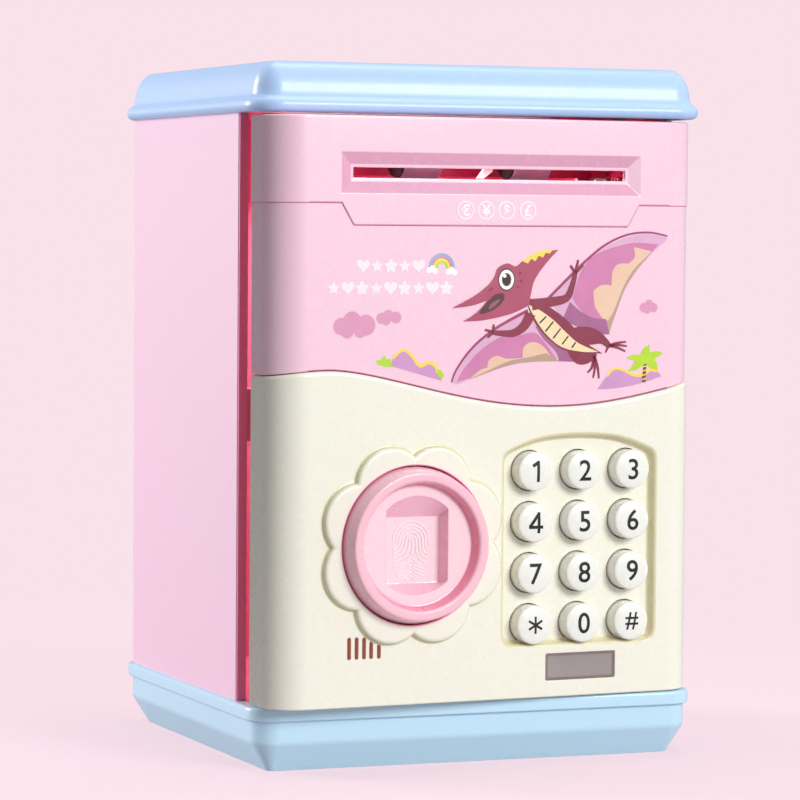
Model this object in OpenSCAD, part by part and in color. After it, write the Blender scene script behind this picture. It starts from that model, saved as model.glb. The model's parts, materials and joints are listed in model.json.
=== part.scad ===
// Toy safe coin bank: a square plastic safe with a full-height front door that holds the keypad,
// the fingerprint button, the latch and the banknote feed. Millimetres, +Z up, the front faces -Y.
// The origin is the middle of the base's underside. The door stands a little ajar at rest.

/* [Body] */
// Width of the pink body, side to side
body_w = 128.2; // [124:0.1:132]
// Depth of the closed body, door front to back wall
body_d = 114.8; // [105:0.1:130]
// Thickness of the pink outer shell
shell_t = 1.6; // [1.2:0.1:2]
// Thickness of the inner wall liner
liner_t = 1.0; // [0.8:0.1:1.4]
// Radius of the upright corners of the base, the cap and the back of the body
corner_r = 6.5; // [6.4:0.1:8]

/* [Base and cap] */
// Height of the blue base up to the top of its lip
base_h = 17.7; // [16:0.1:20]
// Overhang of the base's lip
base_lip = 1.3; // [0.8:0.1:1.6]
// Height of the underside of the cap
cap_z = 176.3; // [170:0.1:178]
// Overall height
total_h = 190; // [187:0.1:192]
// Overhang of the round bead along the cap's lower edge
cap_bead = 2.4; // [1.5:0.1:3]
// Length of the coin slot in the cap
coin_slot_l = 32; // [26:1:36]
// Width of the coin slot in the cap
coin_slot_w = 3.6; // [3:0.1:3.9]

/* [Door] */
// Angle that the door stands open at rest
door_ajar = 4.2; // [0:0.1:20]
// Thickness of the door, front face to back plate
door_t = 15.8; // [15.5:0.1:17]
// Radius of the door's two front corners
door_r = 9.5; // [8:0.1:10]
// Wall thickness of the door's front panels
panel_t = 2.3; // [2:0.1:2.4]
// How far the cream panel stands proud of the pink one
cream_proud = 1.04; // [0.5:0.01:1.2]
// Gap between the door's back and the body's rim when shut
door_gap = 0.9; // [0.6:0.1:1.2]

/* [Banknote slot] */
// Length of the banknote slot
bill_slot_l = 82.4; // [76:0.1:84]
// Height of the banknote slot
bill_slot_h = 2.8; // [2:0.1:3.5]
// Height of the slot's centre above the table
bill_slot_z = 160.4; // [159:0.1:161]

/* [Keypad] */
// Distance between key columns
key_dx = 14.99; // [14:0.01:15.5]
// Distance between key rows
key_dz = 13.96; // [13.5:0.01:14.5]
// Diameter of a key cap
key_d = 10.6; // [9:0.1:11]
// Key travel
key_travel = 1.3; // [1:0.1:1.3]

/* [Fingerprint button] */
// Diameter of the button's rim where it leaves the flower
dish_d = 42.3; // [40:0.1:43]
// How far the rim stands out of the flower
dish_rise = 4.7; // [3:0.1:5]
// Button travel
dish_travel = 1.5; // [1:0.1:1.5]

/* [Hidden] */
$fn = 64;
half_w = body_w / 2;
front_y = -body_d / 2;
back_y = body_d / 2;
door_back_y = front_y + door_t;
rim_y = door_back_y + door_gap;
liner_gap = 0.05;
liner_out = half_w - shell_t - liner_gap;
rim_t = 0.75;
liner_in = liner_out - liner_t;

// Hinge
hinge_r = 3.5;
hinge_x = half_w - hinge_r;
hinge_y = door_back_y - hinge_r;
pin_r = 1.5;
pin_play = 0.06;
door_z0 = base_h + 0.25;
door_z1 = cap_z - 0.8;
pin_reach = 9;

// Plates that close the base and the cap
plate_in = 2.3;
floor_t = 2.2;
ceiling_t = 1.8;
ceiling_z = cap_z + 0.1;
case_screw_x = 52;
case_screw_y = [-32, 46];
screw_r = 1.1;
screw_hole_r = screw_r + 0.2;
base_post_r = 3.6;
base_post_bore = 1.5;
cap_post_r = 3.2;
floor_boss_r = 3.4;
floor_boss_h = 3.6;

// Seam between the pink and the cream panel: a hump on the left and a valley on the right
seam_mid = 102.6;
seam_amp = 5.2;
hump_x = -48;
valley_x = 20;
hump_run = 68;
valley_run = 38;
seam_gap = 0.1;

// Door inside, front to back
cream_y = front_y - cream_proud;
cream_in = cream_y + panel_t;
pink_in = front_y + panel_t;
petal_rise = 1.8;
recess_y = cream_y + 2.5;
recess_back = recess_y + 2;
pcb_y = -48.6;
pcb_t = 1.6;
cover_t = 2;
cover_y = door_back_y - cover_t;
housing_t = 1.8;
housing_y = -26;
housing_in = housing_y - housing_t;

// Keypad
key_x0 = 12.45;
key_z0 = 80.0;
key_names = [["1", "2", "3"], ["4", "5", "6"], ["7", "8", "9"], ["star", "0", "hash"]];
key_hole_play = 0.3;
recess = [3.7, 50.3, 32.7, 84.5];
recess_arch = 5.5;
recess_wall = 1.9;
key_rise = 4.7;
key_dome_r = 26;
key_flange = 0.9;
key_stem_r = 2.6;
dome_t = 0.9;

// Fingerprint button
dish_x = -24.1;
dish_z = 61;
petal_c = 17.3;
petal_r = 10.4;
petals = 8;
dish_play = 0.25;
dish_depth = 3.4;
dish_wall = 2.2;
pocket_w = 18.2;
pocket_h = 26.5;
pocket_depth = 3.8;
pad_z = [-10.3, 7.5];
stem_r = 1.6;
stem_z = dish_z - 2;
switch_y = pcb_y - 2.6;

// Indicator window and speaker
window = [16.8, 38.4, 22.5, 29.9];
speaker_x = -38.1;
speaker_z = 30.5;
speaker_r = 10;
speaker_slot_x = [-42.5, -40.3, -38.1, -36.0, -33.7];
speaker_slot_top = [36.7, 36.7, 36.6, 35.4, 34.7];
speaker_slot_z = 30.9;
speaker_slot_w = 0.9;

// Banknote feed
roller_x = 16.7;
roller_w = 11;
roller_r = 5.5;
hub_r = 3.2;
hub_flange_r = 4.9;
roller_y = -44;
roller_z = bill_slot_z - 1.5 + roller_r;
shaft_r = 1.25;
pinch_r = 2.6;
pinch_z = roller_z - roller_r - 0.2 - pinch_r;
pinch_shaft_r = 1;
guide_z = 156.4;
guide_t = 1.5;
guide_half_w = 43.5;
exit_half_w = 42;
exit_h = 2.1;
gear_x = 44.6;
gear_w = 3.4;
gear_m = 0.6;
feed_teeth = 18;
idler_teeth = 18;
pinion_teeth = 12;
motor_y = -38;
motor_z = 150;
motor_r = 5.6;
motor_x = [17, 42];
gearbox_x = 32;
bracket_t = 2;
bracket_x = [-46.6, 49.7];
lever_y = -52;
lever_z = 167;
lever_pin_r = 0.7;
lever_ear_x = [-4, 3.3];
lever_ear_w = 1.6;

// Latch
bolt_z = 95;
bolt_y = -35.1;
bolt_h = 8;
bolt_t = 5.6;
bolt_tip = -54.8;
bolt_tail = -44.4;
bolt_play = 0.25;
strike_x = -56.2;
strike_w = 10;
strike_h = 14;
solenoid_x = [-44, -24];
solenoid_h = 13;

// Batteries
cell_r = 7.1;
cell_l = 49.2;
cell_y = -35.1;
cell_z = [34.5, 50, 65.5];
bay = [-31, 31, 25.8, 74.2];
bay_wall = 1.5;

// Door screws and their bosses: [x, z, in the cream panel]
door_screws_at = [[-56, 30, true], [-56, 75, true], [52.3, 30, true], [52.3, 75, true],
                  [-56, 122, false], [-56, 164, false], [52.3, 122, false]];
boss_r = 2.6;

// Helpers

module block(x0, x1, y0, y1, z0, z1) {
    translate([x0, y0, z0]) cube([x1 - x0, y1 - y0, z1 - z0]);
}

module post_z(x, y, z0, z1, r) {
    translate([x, y, z0]) cylinder(r = r, h = z1 - z0);
}

// Lays its children, drawn along Z, along Y from y
module along_y(x, y, z) {
    translate([x, y, z]) rotate([-90, 0, 0]) children();
}

// Lays its children, drawn in XY and raised along Z, in the YZ plane and along X
module along_x(x, y, z) {
    translate([x, y, z]) rotate([90, 0, 90]) children();
}

module post_y(x, z, y0, y1, r) {
    along_y(x, y0, z) cylinder(r = r, h = y1 - y0);
}

module post_x(y, z, x0, x1, r) {
    along_x(x0, y, z) cylinder(r = r, h = x1 - x0);
}

// Repeats its children at the four screws of the case
module at_case_screws()
    for (x = [-case_screw_x, case_screw_x], y = case_screw_y) translate([x, y, 0]) children();

// Turns the door's pieces about the hinge to the rest angle
module on_door() {
    translate([hinge_x, hinge_y, 0]) rotate([0, 0, door_ajar])
        translate([-hinge_x, -hinge_y, 0]) children();
}

// Solid of a rounded rectangle whose wall follows a 2-D profile: x is measured from the
// corners' centres outwards, so x = corner_r is the body's side, and y is the height
module rounded_case(z0, z1) {
    cx = half_w - corner_r;
    cy = back_y - corner_r;
    for (q = [[1, 1, 0], [-1, 1, 90], [-1, -1, 180], [1, -1, 270]])
        translate([q[0] * cx, q[1] * cy, 0]) rotate([0, 0, q[2]]) rotate_extrude(angle = 90) children();
    for (s = [[1, 0, cy], [-1, 180, cy]])
        translate([s[0] * cx, 0, 0]) rotate([0, 0, s[1]]) side_wall(2 * s[2]) children();
    for (s = [[1, 90, cx], [-1, 270, cx]])
        translate([0, s[0] * cy, 0]) rotate([0, 0, s[1]]) side_wall(2 * s[2]) children();
    block(-cx, cx, -cy, cy, z0, z1);
}

module side_wall(length) {
    translate([0, length / 2, 0]) rotate([90, 0, 0]) linear_extrude(length) children();
}

function arc(cx, cy, rx, ry, a0, a1, n) =
    [for (i = [0:n]) let (a = a0 + (a1 - a0) * i / n) [cx + rx * cos(a), cy + ry * sin(a)]];

// Rounded rectangle in plan, inset from the body's side by t
module plan(t) {
    r = max(corner_r - t, 0.5);
    x = half_w - t - r;
    y = back_y - t - r;
    for (i = [-1, 1], j = [-1, 1]) translate([i * x, j * y]) circle(r = r);
    square([2 * x, 2 * (y + r)], center = true);
    square([2 * (x + r), 2 * y], center = true);
}

// Base and cap

base_profile = [[0, 0], [corner_r - 5.2, 0], [corner_r - 4.8, 0.4], [corner_r - 0.2, 7.6],
                [corner_r, 8.4], [corner_r, 13.8], [corner_r + base_lip - 0.2, 14.2],
                [corner_r + base_lip, 14.6], [corner_r + base_lip, base_h - 0.6],
                [corner_r + base_lip - 0.5, base_h], [0, base_h]];
base_hollow = [[0, 2], [corner_r - 6.2, 2], [corner_r - 2.2, 8.6], [corner_r - 2.2, base_h + 1],
               [0, base_h + 1]];

module base_tray() color("lightskyblue") {
    difference() {
        rounded_case(0, base_h) polygon(base_profile);
        rounded_case(2, base_h + 1) polygon(base_hollow);
        post_z(hinge_x, hinge_y, base_h - floor_t, base_h + 1, pin_r);
    }
    difference() {
        at_case_screws() post_z(0, 0, 1, base_h - floor_t, base_post_r);
        at_case_screws() post_z(0, 0, -1, base_h, base_post_bore);
    }
}

// The cap's wall in section: a round bead below, and a brow that is taller than it is deep
cap_wall = 2.2;
bead_r = 1.9;
brow_w = 6;
brow_h = 8.6;
cap_profile = concat([[0, cap_z]],
                     arc(corner_r + cap_bead - bead_r, cap_z + bead_r, bead_r, bead_r, -90, 70, 8),
                     arc(corner_r - brow_w, total_h - brow_h, brow_w, brow_h, 4, 90, 8),
                     [[0, total_h]]);
cap_hollow = concat([[0, cap_z - 1], [corner_r - cap_wall, cap_z - 1]],
                    arc(corner_r - brow_w, total_h - brow_h, brow_w - cap_wall, brow_h - cap_wall, 0, 90, 6),
                    [[0, total_h - cap_wall]]);

module top_cap() color("lightskyblue") {
    difference() {
        rounded_case(cap_z, total_h) polygon(cap_profile);
        rounded_case(cap_z - 1, total_h - cap_wall) polygon(cap_hollow);
        block(-coin_slot_l / 2, coin_slot_l / 2, -coin_slot_w / 2, coin_slot_w / 2,
              total_h - 5, total_h + 1);
        post_z(hinge_x, hinge_y, cap_z - 1, ceiling_z + ceiling_t, pin_r);
    }
    difference() {
        at_case_screws() post_z(0, 0, ceiling_z + ceiling_t, total_h - cap_wall + 0.2, cap_post_r);
        at_case_screws() post_z(0, 0, cap_z, cap_z + 9.5, screw_r);
    }
}

module floor_plate() color("palevioletred") difference() {
    union() {
        translate([0, 0, base_h - floor_t]) linear_extrude(floor_t) plan(plate_in);
        at_case_screws() post_z(0, 0, base_h - 0.5, base_h + floor_boss_h, floor_boss_r);
    }
    at_case_screws() post_z(0, 0, base_h - 3, base_h + floor_boss_h - 0.8, screw_r);
    post_z(hinge_x, hinge_y, base_h - 3, base_h + 1, pin_r);
}

module ceiling_plate() color("palevioletred") difference() {
    translate([0, 0, ceiling_z]) linear_extrude(ceiling_t) plan(plate_in);
    at_case_screws() post_z(0, 0, cap_z - 1, cap_z + 3, screw_hole_r);
    post_z(hinge_x, hinge_y, cap_z - 1, cap_z + 3, pin_r);
    block(-coin_slot_l / 2 - 1, coin_slot_l / 2 + 1, -coin_slot_w / 2 - 1, coin_slot_w / 2 + 1,
          cap_z - 1, cap_z + 3);
}

// A pan-head screw along +Z: head below z = 0, shank above
module screw(head_r, head_h, length) {
    difference() {
        translate([0, 0, -head_h]) cylinder(r = head_r, h = head_h);
        for (a = [0, 90]) rotate([0, 0, a])
            translate([-head_r * 0.6, -0.3, -head_h - 1]) cube([head_r * 1.2, 0.6, 1.6]);
    }
    cylinder(r = screw_r - 0.02, h = length);
}

module base_screws() color("silver")
    at_case_screws() translate([0, 0, base_h - floor_t]) cylinder(r = screw_r - 0.02, h = 4.6);

module cap_screws() color("silver")
    at_case_screws() translate([0, 0, ceiling_z]) screw(2.4, 1.5, 8);

// Body walls

module body_shell() color("pink")
    translate([0, 0, base_h]) linear_extrude(cap_z - base_h) intersection() {
        difference() {
            plan(0);
            plan(shell_t);
        }
        translate([-half_w - 1, rim_y + rim_t + liner_gap]) square([body_w + 2, body_d]);
    }

module wall_liner() color("crimson")
    translate([0, 0, base_h + liner_gap]) linear_extrude(cap_z - base_h - 2 * liner_gap) {
        intersection() {
            difference() {
                plan(shell_t + liner_gap);
                plan(shell_t + liner_gap + liner_t);
            }
            translate([-half_w, rim_y]) square([body_w, body_d]);
        }
        for (s = [-1, 1]) translate([s > 0 ? liner_in : -half_w + 0.2, rim_y])
            square([half_w - 0.2 - liner_in, rim_t]);
    }

module hinge_pins() color("silver") {
    post_z(hinge_x, hinge_y, base_h - floor_t, door_z0 + pin_reach, pin_r);
    post_z(hinge_x, hinge_y, door_z1 - pin_reach, ceiling_z + ceiling_t, pin_r);
}

module strike_plate() color("palevioletred") difference() {
    block(-liner_in, strike_x, bolt_y - strike_w / 2, bolt_y + strike_w / 2,
          bolt_z - strike_h / 2, bolt_z + strike_h / 2);
    block(-liner_in + 0.8, strike_x + 1, bolt_y - bolt_t / 2 - 0.3, bolt_y + bolt_t / 2 + 0.3,
          bolt_z - bolt_h / 2 - 0.4, bolt_z + bolt_h / 2 + 0.4);
}

// Door panels

edge_t = 2;
hinge_clear = 6;
pink_low = 90;
cream_top = 125;

// Outline of the door in plan, inset by t, with its front at y0 and its back open beyond y1
module door_plan(t, y0, y1) {
    r = door_r - t;
    x = half_w - t;
    intersection() {
        for (s = [-1, 1]) translate([s * (x - r), y0 + r]) circle(r = r);
        translate([-x, y0]) square([2 * x, r]);
    }
    translate([-x + r, y0]) square([2 * (x - r), y1 - y0]);
    translate([-x, y0 + r]) square([r + 1, y1 - y0 - r]);
    translate([x - r - 1, y0 + r]) square([r + 1, hinge_y - y0 - r]);
}

// Round back edge of the door, about the hinge, with the pin's bore
module hinge_barrel(z0, z1) {
    difference() {
        post_z(hinge_x, hinge_y, z0, z1, hinge_r);
        post_z(hinge_x, hinge_y, z0 - 1, z1 + 1, pin_r + pin_play);
    }
}

function seam_z(x) =
    x < hump_x ? seam_mid + seam_amp * cos(180 * (hump_x - x) / hump_run) :
    x < valley_x ? seam_mid + seam_amp * cos(180 * pow((x - hump_x) / (valley_x - hump_x), 0.8)) :
    seam_mid - seam_amp * cos(90 * (x - valley_x) / valley_run);

module seam_region(upper, gap) {
    steps = 34;
    x0 = -half_w - 2;
    line = [for (i = [0:steps]) let (x = x0 + (body_w + 4) * i / steps) [x, seam_z(x) + gap]];
    end_z = upper ? total_h : 0;
    translate([0, back_y, 0]) rotate([90, 0, 0]) linear_extrude(2 * body_d)
        polygon(concat([[x0, end_z]], line, [[-x0, end_z]]));
}

module boss(x, z, y0) {
    difference() {
        post_y(x, z, y0 - 0.3, cover_y, boss_r);
        post_y(x, z, y0 + 1.5, cover_y + 1, screw_r);
    }
}

// A trapezoid in plan, half + outer wide at the panel's face and half + inner at its floor
module bevel_outline(half, outer, inner, depth) {
    mouth = outer + (outer - inner) / depth;
    polygon([[-half - mouth, front_y - 1], [half + mouth, front_y - 1],
             [half + inner, front_y + depth], [-half - inner, front_y + depth]]);
}

// Bevelled surround of the banknote slot, narrowing towards the inside
module slot_bevel() {
    outer = 4.2;
    inner = 0.8;
    depth = 1.1;
    intersection() {
        translate([0, 0, bill_slot_z - 20]) linear_extrude(40)
            bevel_outline(bill_slot_l / 2, outer, inner, depth);
        translate([0, 0, bill_slot_z]) rotate([0, 90, 0]) linear_extrude(2 * body_w, center = true)
            bevel_outline(bill_slot_h / 2, outer, inner, depth);
    }
}

module door_upper_panel() on_door() color("pink") {
    difference() {
        intersection() {
            translate([0, 0, pink_low]) linear_extrude(door_z1 - pink_low)
                door_plan(0, front_y, door_back_y);
            seam_region(true, seam_gap);
        }
        translate([0, 0, pink_low - 10]) linear_extrude(door_z1 - edge_t - pink_low + 10)
            door_plan(panel_t, pink_in, door_back_y + 1);
        block(-half_w + panel_t, hinge_x - hinge_clear, pink_in, door_back_y + 1, pink_low,
              door_z1 - edge_t);
        post_z(hinge_x, hinge_y, pink_low, door_z1 + 1, hinge_r - 0.1);
        slot_bevel();
        block(-bill_slot_l / 2, bill_slot_l / 2, front_y - 1, pink_in + 1,
              bill_slot_z - bill_slot_h / 2, bill_slot_z + bill_slot_h / 2);
    }
    hinge_barrel(seam_z(hinge_x) + seam_gap, door_z1);
    for (s = door_screws_at) if (!s[2]) boss(s[0], s[1], pink_in);
    lever_ears();
}

// Two ears behind the banknote slot that hold the sensor lever's pin
module lever_ears() difference() {
    for (x = lever_ear_x)
        block(x, x + lever_ear_w, pink_in - 0.3, lever_y + lever_ear_w, lever_z - lever_ear_w,
              lever_z + lever_ear_w);
    post_x(lever_y, lever_z, lever_ear_x[0] - 1, lever_ear_x[1] + lever_ear_w + 1, lever_pin_r);
}

module keypad_recess(grow, y0, y1) {
    x0 = recess[0] - grow;
    x1 = recess[1] + grow;
    mid = (recess[0] + recess[1]) / 2;
    rise = recess_arch;
    half = (recess[1] - recess[0]) / 2;
    arch_r = (half * half + rise * rise) / (2 * rise) + grow;
    arch_z = recess[3] + rise + grow - arch_r;
    block(x0, x1, y0, y1, recess[2] - grow, recess[3] - 0.8);
    intersection() {
        block(x0, x1, y0, y1, recess[3] - 2, recess[3] + rise + grow + 1);
        post_y(mid, arch_z, y0, y1, arch_r);
    }
}

module flower(y0, y1) {
    for (i = [0:petals - 1]) let (a = (i + 0.5) * 360 / petals)
        post_y(dish_x + petal_c * cos(a), dish_z + petal_c * sin(a), y0, y1, petal_r);
    post_y(dish_x, dish_z, y0, y1, petal_c + 2);
}

module door_lower_panel() on_door() color("ivory") {
    difference() {
        union() {
            intersection() {
                difference() {
                    translate([0, 0, door_z0]) linear_extrude(cream_top - door_z0)
                        door_plan(0, cream_y, door_back_y);
                    translate([0, 0, door_z0 + edge_t]) linear_extrude(cream_top)
                        door_plan(panel_t, cream_in, door_back_y + 1);
                    block(-half_w + panel_t, hinge_x - hinge_clear, cream_in, door_back_y + 1,
                          door_z0 + edge_t, cream_top + 1);
                    post_z(hinge_x, hinge_y, 0, cream_top + 1, hinge_r - 0.1);
                }
                seam_region(false, -seam_gap);
            }
            flower(cream_y - petal_rise, cream_y + 1);
            keypad_recess(recess_wall, recess_y - 1, recess_back);
        }
        keypad_recess(0, cream_y - 5, recess_y);
        for (i = [0:2], j = [0:3])
            post_y(key_x0 + i * key_dx, key_z0 - j * key_dz, recess_y - 1, recess_back + 1,
                   key_d / 2 + key_hole_play);
        post_y(dish_x, dish_z, cream_y - 5, cream_in + 1, dish_d / 2 + dish_play);
        block(window[0], window[1], cream_y - 1, cream_in + 1, window[2], window[3]);
        for (i = [0:4])
            block(speaker_slot_x[i] - speaker_slot_w / 2, speaker_slot_x[i] + speaker_slot_w / 2,
                  cream_y - 1, cream_in + 1, speaker_slot_z, speaker_slot_top[i]);
    }
    hinge_barrel(door_z0, seam_z(hinge_x) - seam_gap);
    for (s = door_screws_at) if (s[2]) boss(s[0], s[1], cream_in);
}

// Back of the door

cover_x0 = -half_w + panel_t + 0.1;
cover_x1 = hinge_x - 4.2;
cover_z0 = door_z0 + 2.1;
cover_z1 = door_z1 - 2.1;
housing = [-50, 46, 22, 140];
upper_housing = [-50, 54, 138, 173];

module housing_box(h, t) {
    block(h[0] + t, h[1] - t, t > 0 ? cover_y - 1 : cover_y, housing_y - t, h[2] + t, h[3] - t);
}

module door_back_cover() on_door() color("crimson") difference() {
    union() {
        block(cover_x0, cover_x1, cover_y, door_back_y, cover_z0, cover_z1);
        housing_box(housing, 0);
        housing_box(upper_housing, 0);
    }
    housing_box([housing[0], housing[1], housing[2], housing[3] + 6], housing_t);
    housing_box(upper_housing, housing_t);
    for (s = door_screws_at) post_y(s[0], s[1], cover_y - 1, door_back_y + 1, screw_hole_r);
    block(bay[0] - 0.1, bay[1] + 0.1, housing_in - 1, housing_y + 1, bay[2] - 0.1, bay[3] + 0.1);
    block(-exit_half_w, exit_half_w, housing_in - 1, housing_y + 1, guide_z + guide_t,
          guide_z + guide_t + exit_h);
    block(housing[0] - 1, housing[0] + 3, bolt_y - bolt_t / 2 - bolt_play,
          bolt_y + bolt_t / 2 + bolt_play, bolt_z - bolt_h / 2 - bolt_play,
          bolt_z + bolt_h / 2 + bolt_play);
}

module door_screws() on_door() color("silver")
    for (s = door_screws_at)
        translate([s[0], door_back_y, s[1]]) rotate([90, 0, 0]) screw(2.2, 1.2, 8.5);

module battery_box() on_door() color("dimgray") difference() {
    block(bay[0] - bay_wall, bay[1] + bay_wall, cell_y - cell_r - 1.8, housing_in - 0.1,
          bay[2] - bay_wall, bay[3] + bay_wall);
    block(bay[0], bay[1], cell_y - cell_r - 0.2, housing_in + 1, bay[2], bay[3]);
}

module battery_cover() on_door() color("crimson") difference() {
    block(bay[0] + 0.1, bay[1] - 0.1, housing_in, housing_y, bay[2] + 0.1, bay[3] - 0.1);
    post_y(0, bay[3] - 2.6, housing_in - 1, housing_y + 1, screw_hole_r);
}

module battery_cover_screw() on_door() color("silver")
    translate([0, housing_y, bay[3] - 2.6]) rotate([90, 0, 0]) screw(2, 1, 1.8);

module batteries() on_door() color("seagreen")
    for (i = [0:2]) along_x(-cell_l / 2, cell_y, cell_z[i]) {
        cylinder(r = cell_r, h = cell_l);
        translate([0, 0, i % 2 ? -1 : cell_l]) cylinder(r = 2.7, h = 1);
    }

module battery_contacts() on_door() color("silver")
    for (i = [0:2], s = [-1, 1]) {
        nub = (i % 2 ? -1 : 1) == s ? 1 : 0;
        x = s * (cell_l / 2 + nub);
        end = s * (bay[1] - 0.05);
        block(min(end, end - s * 0.5), max(end, end - s * 0.5), cell_y - 5, cell_y + 5,
              cell_z[i] - 5, cell_z[i] + 5);
        post_x(cell_y, cell_z[i], min(x, end - s * 0.5), max(x, end - s * 0.5), 3 - nub);
    }

// Electronics

pcb_x = [-32, 49];
pcb_top = 92;
membrane = [5, 49, 31, 87];
led_x = [22.6, 32.6];
led_r = 1.5;
led_h = 4;
window_play = 0.05;
window_lip = 0.8;
switch_half = 3;
switch_h = 1.9;

module circuit_board() on_door() color("darkgreen")
    block(pcb_x[0], pcb_x[1], pcb_y, pcb_y + pcb_t, door_z0 + 2.6, pcb_top);

module key_membrane() on_door() color("gainsboro") {
    block(membrane[0], membrane[1], pcb_y - 0.6, pcb_y, membrane[2], membrane[3]);
    for (i = [0:2], j = [0:3])
        post_y(key_x0 + i * key_dx, key_z0 - j * key_dz, pcb_y - dome_t, pcb_y - 0.5, 3.2);
}

module indicator_window() on_door() color("rosybrown") {
    block(window[0] + window_play, window[1] - window_play, cream_y + 0.35, cream_in + 0.6,
          window[2] + window_play, window[3] - window_play);
    block(window[0] - window_lip, window[1] + window_lip, cream_in, cream_in + 0.9,
          window[2] - window_lip, window[3] + window_lip);
}

module indicator_leds() on_door() color("red")
    for (x = led_x) {
        post_y(x, (window[2] + window[3]) / 2, pcb_y - led_h, pcb_y, led_r);
        along_y(x, pcb_y - led_h, (window[2] + window[3]) / 2) sphere(r = led_r);
    }

module speaker_frame() on_door() color("dimgray") difference() {
    union() {
        post_y(speaker_x, speaker_z, cream_in + 0.1, cream_in + 2.8, speaker_r);
        post_y(speaker_x, speaker_z, cream_in + 2.8, cream_in + 5.2, 6);
    }
    post_y(speaker_x, speaker_z, cream_in - 1, cream_in + 2, speaker_r - 1);
}

module speaker_cone() on_door() color("black")
    along_y(speaker_x, cream_in + 0.6, speaker_z) cylinder(r1 = speaker_r - 1.05, r2 = 4.4, h = 1.35);

module tact_switch() on_door() color("black") {
    block(dish_x - switch_half, dish_x + switch_half, pcb_y - switch_h, pcb_y,
          stem_z - switch_half, stem_z + switch_half);
    post_y(dish_x, stem_z, switch_y, pcb_y - switch_h + 0.1, stem_r);
}

module latch_solenoid() on_door() color("goldenrod") {
    block(solenoid_x[0], solenoid_x[1], cover_y - 1.5, bolt_y + 5.6,
          bolt_z - solenoid_h / 2, bolt_z + solenoid_h / 2);
}

module latch_bolt() on_door() color("ghostwhite")
    translate([0, 0, bolt_z - bolt_h / 2]) linear_extrude(bolt_h)
        polygon([[bolt_tip, bolt_y - bolt_t / 2], [bolt_tail, bolt_y - bolt_t / 2],
                 [bolt_tail, bolt_y + bolt_t / 2], [bolt_tip + 3, bolt_y + bolt_t / 2],
                 [bolt_tip, bolt_y - bolt_t / 2 + 2.4]]);

// Keys

module key(i, j) on_door() color("whitesmoke") {
    x = key_x0 + i * key_dx;
    z = key_z0 - j * key_dz;
    post_y(x, z, recess_back + 0.2, recess_back + 1.4, key_d / 2 + key_flange);
    post_y(x, z, recess_back + 1.2, pcb_y - dome_t - key_travel - 0.2, key_stem_r);
    intersection() {
        post_y(x, z, recess_y - key_rise, recess_back + 1, key_d / 2);
        along_y(x, recess_y - key_rise + key_dome_r, z) sphere(r = key_dome_r);
    }
}

// Fingerprint button

rim_y0 = cream_y - petal_rise - dish_rise;
flange_y = cream_in + 0.5;
flange_w = 1.4;
flange_t = 1;
dish_back = dish_depth + dish_wall;
pad_back_y = rim_y0 + dish_depth + pocket_depth + 1.2;
dish_profile = [[0, dish_depth], [dish_d / 2 - 4.7, dish_depth], [dish_d / 2 - 3.8, dish_depth - 0.9],
                [dish_d / 2 - 2.9, 0.6], [dish_d / 2 - 2.3, 0], [dish_d / 2 - 1.5, 0],
                [dish_d / 2 - 1.1, 0.5], [dish_d / 2, dish_rise + petal_rise],
                [dish_d / 2, flange_y - rim_y0], [dish_d / 2 + flange_w, flange_y - rim_y0],
                [dish_d / 2 + flange_w, flange_y + flange_t - rim_y0],
                [dish_d / 2 - dish_wall, flange_y + flange_t - rim_y0],
                [dish_d / 2 - dish_wall, dish_back], [0, dish_back]];

module dish_pocket(grow, y0, y1) {
    intersection() {
        block(dish_x - pocket_w / 2 - grow, dish_x + pocket_w / 2 + grow, y0, y1,
              dish_z - pocket_h, dish_z + pocket_h);
        post_y(dish_x, dish_z, y0, y1, pocket_h / 2 + grow);
    }
}

module fingerprint_button() on_door() color("pink") difference() {
    union() {
        along_y(dish_x, rim_y0, dish_z) rotate_extrude() polygon(dish_profile);
        dish_pocket(1.2, rim_y0 + dish_depth + 1, pad_back_y);
        post_y(dish_x, stem_z, pad_back_y - 0.5, switch_y - dish_travel - 0.05, stem_r);
    }
    intersection() {
        dish_pocket(0, rim_y0 + dish_depth - 1, rim_y0 + dish_depth + pocket_depth);
        translate([dish_x, 0, dish_z]) rotate([0, 90, 0]) linear_extrude(pocket_w + 1, center = true)
            polygon([[-pocket_h / 2, rim_y0 + dish_depth - 1], [-pocket_h / 2, rim_y0 + dish_depth],
                     [pad_z[0], rim_y0 + dish_depth + pocket_depth],
                     [pad_z[1], rim_y0 + dish_depth + pocket_depth],
                     [pocket_h / 2, rim_y0 + dish_depth], [pocket_h / 2, rim_y0 + dish_depth - 1]]);
    }
}

// Round wire coiled along Z, from 0 to length
module coil(r, wire_r, length, turns) {
    sides = 8;
    per_turn = 20;
    n = turns * per_turn;
    rings = [for (i = [0:n]) let (a = 360 * i / per_turn, z = wire_r + (length - 2 * wire_r) * i / n)
             for (k = [0:sides - 1]) let (b = 360 * k / sides)
             [(r + wire_r * cos(b)) * cos(a), (r + wire_r * cos(b)) * sin(a), z + wire_r * sin(b)]];
    walls = [for (i = [0:n - 1], k = [0:sides - 1]) let (m = (k + 1) % sides)
             [i * sides + k, i * sides + m, (i + 1) * sides + m, (i + 1) * sides + k]];
    ends = [[for (k = [sides - 1:-1:0]) k], [for (k = [0:sides - 1]) n * sides + k]];
    polyhedron(rings, concat(walls, ends));
}

module button_spring() on_door() color("silver")
    along_y(dish_x, pad_back_y + 0.05, stem_z) coil(6.2, 0.3, pcb_y - pad_back_y - 0.1, 3);

// Banknote feed

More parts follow.
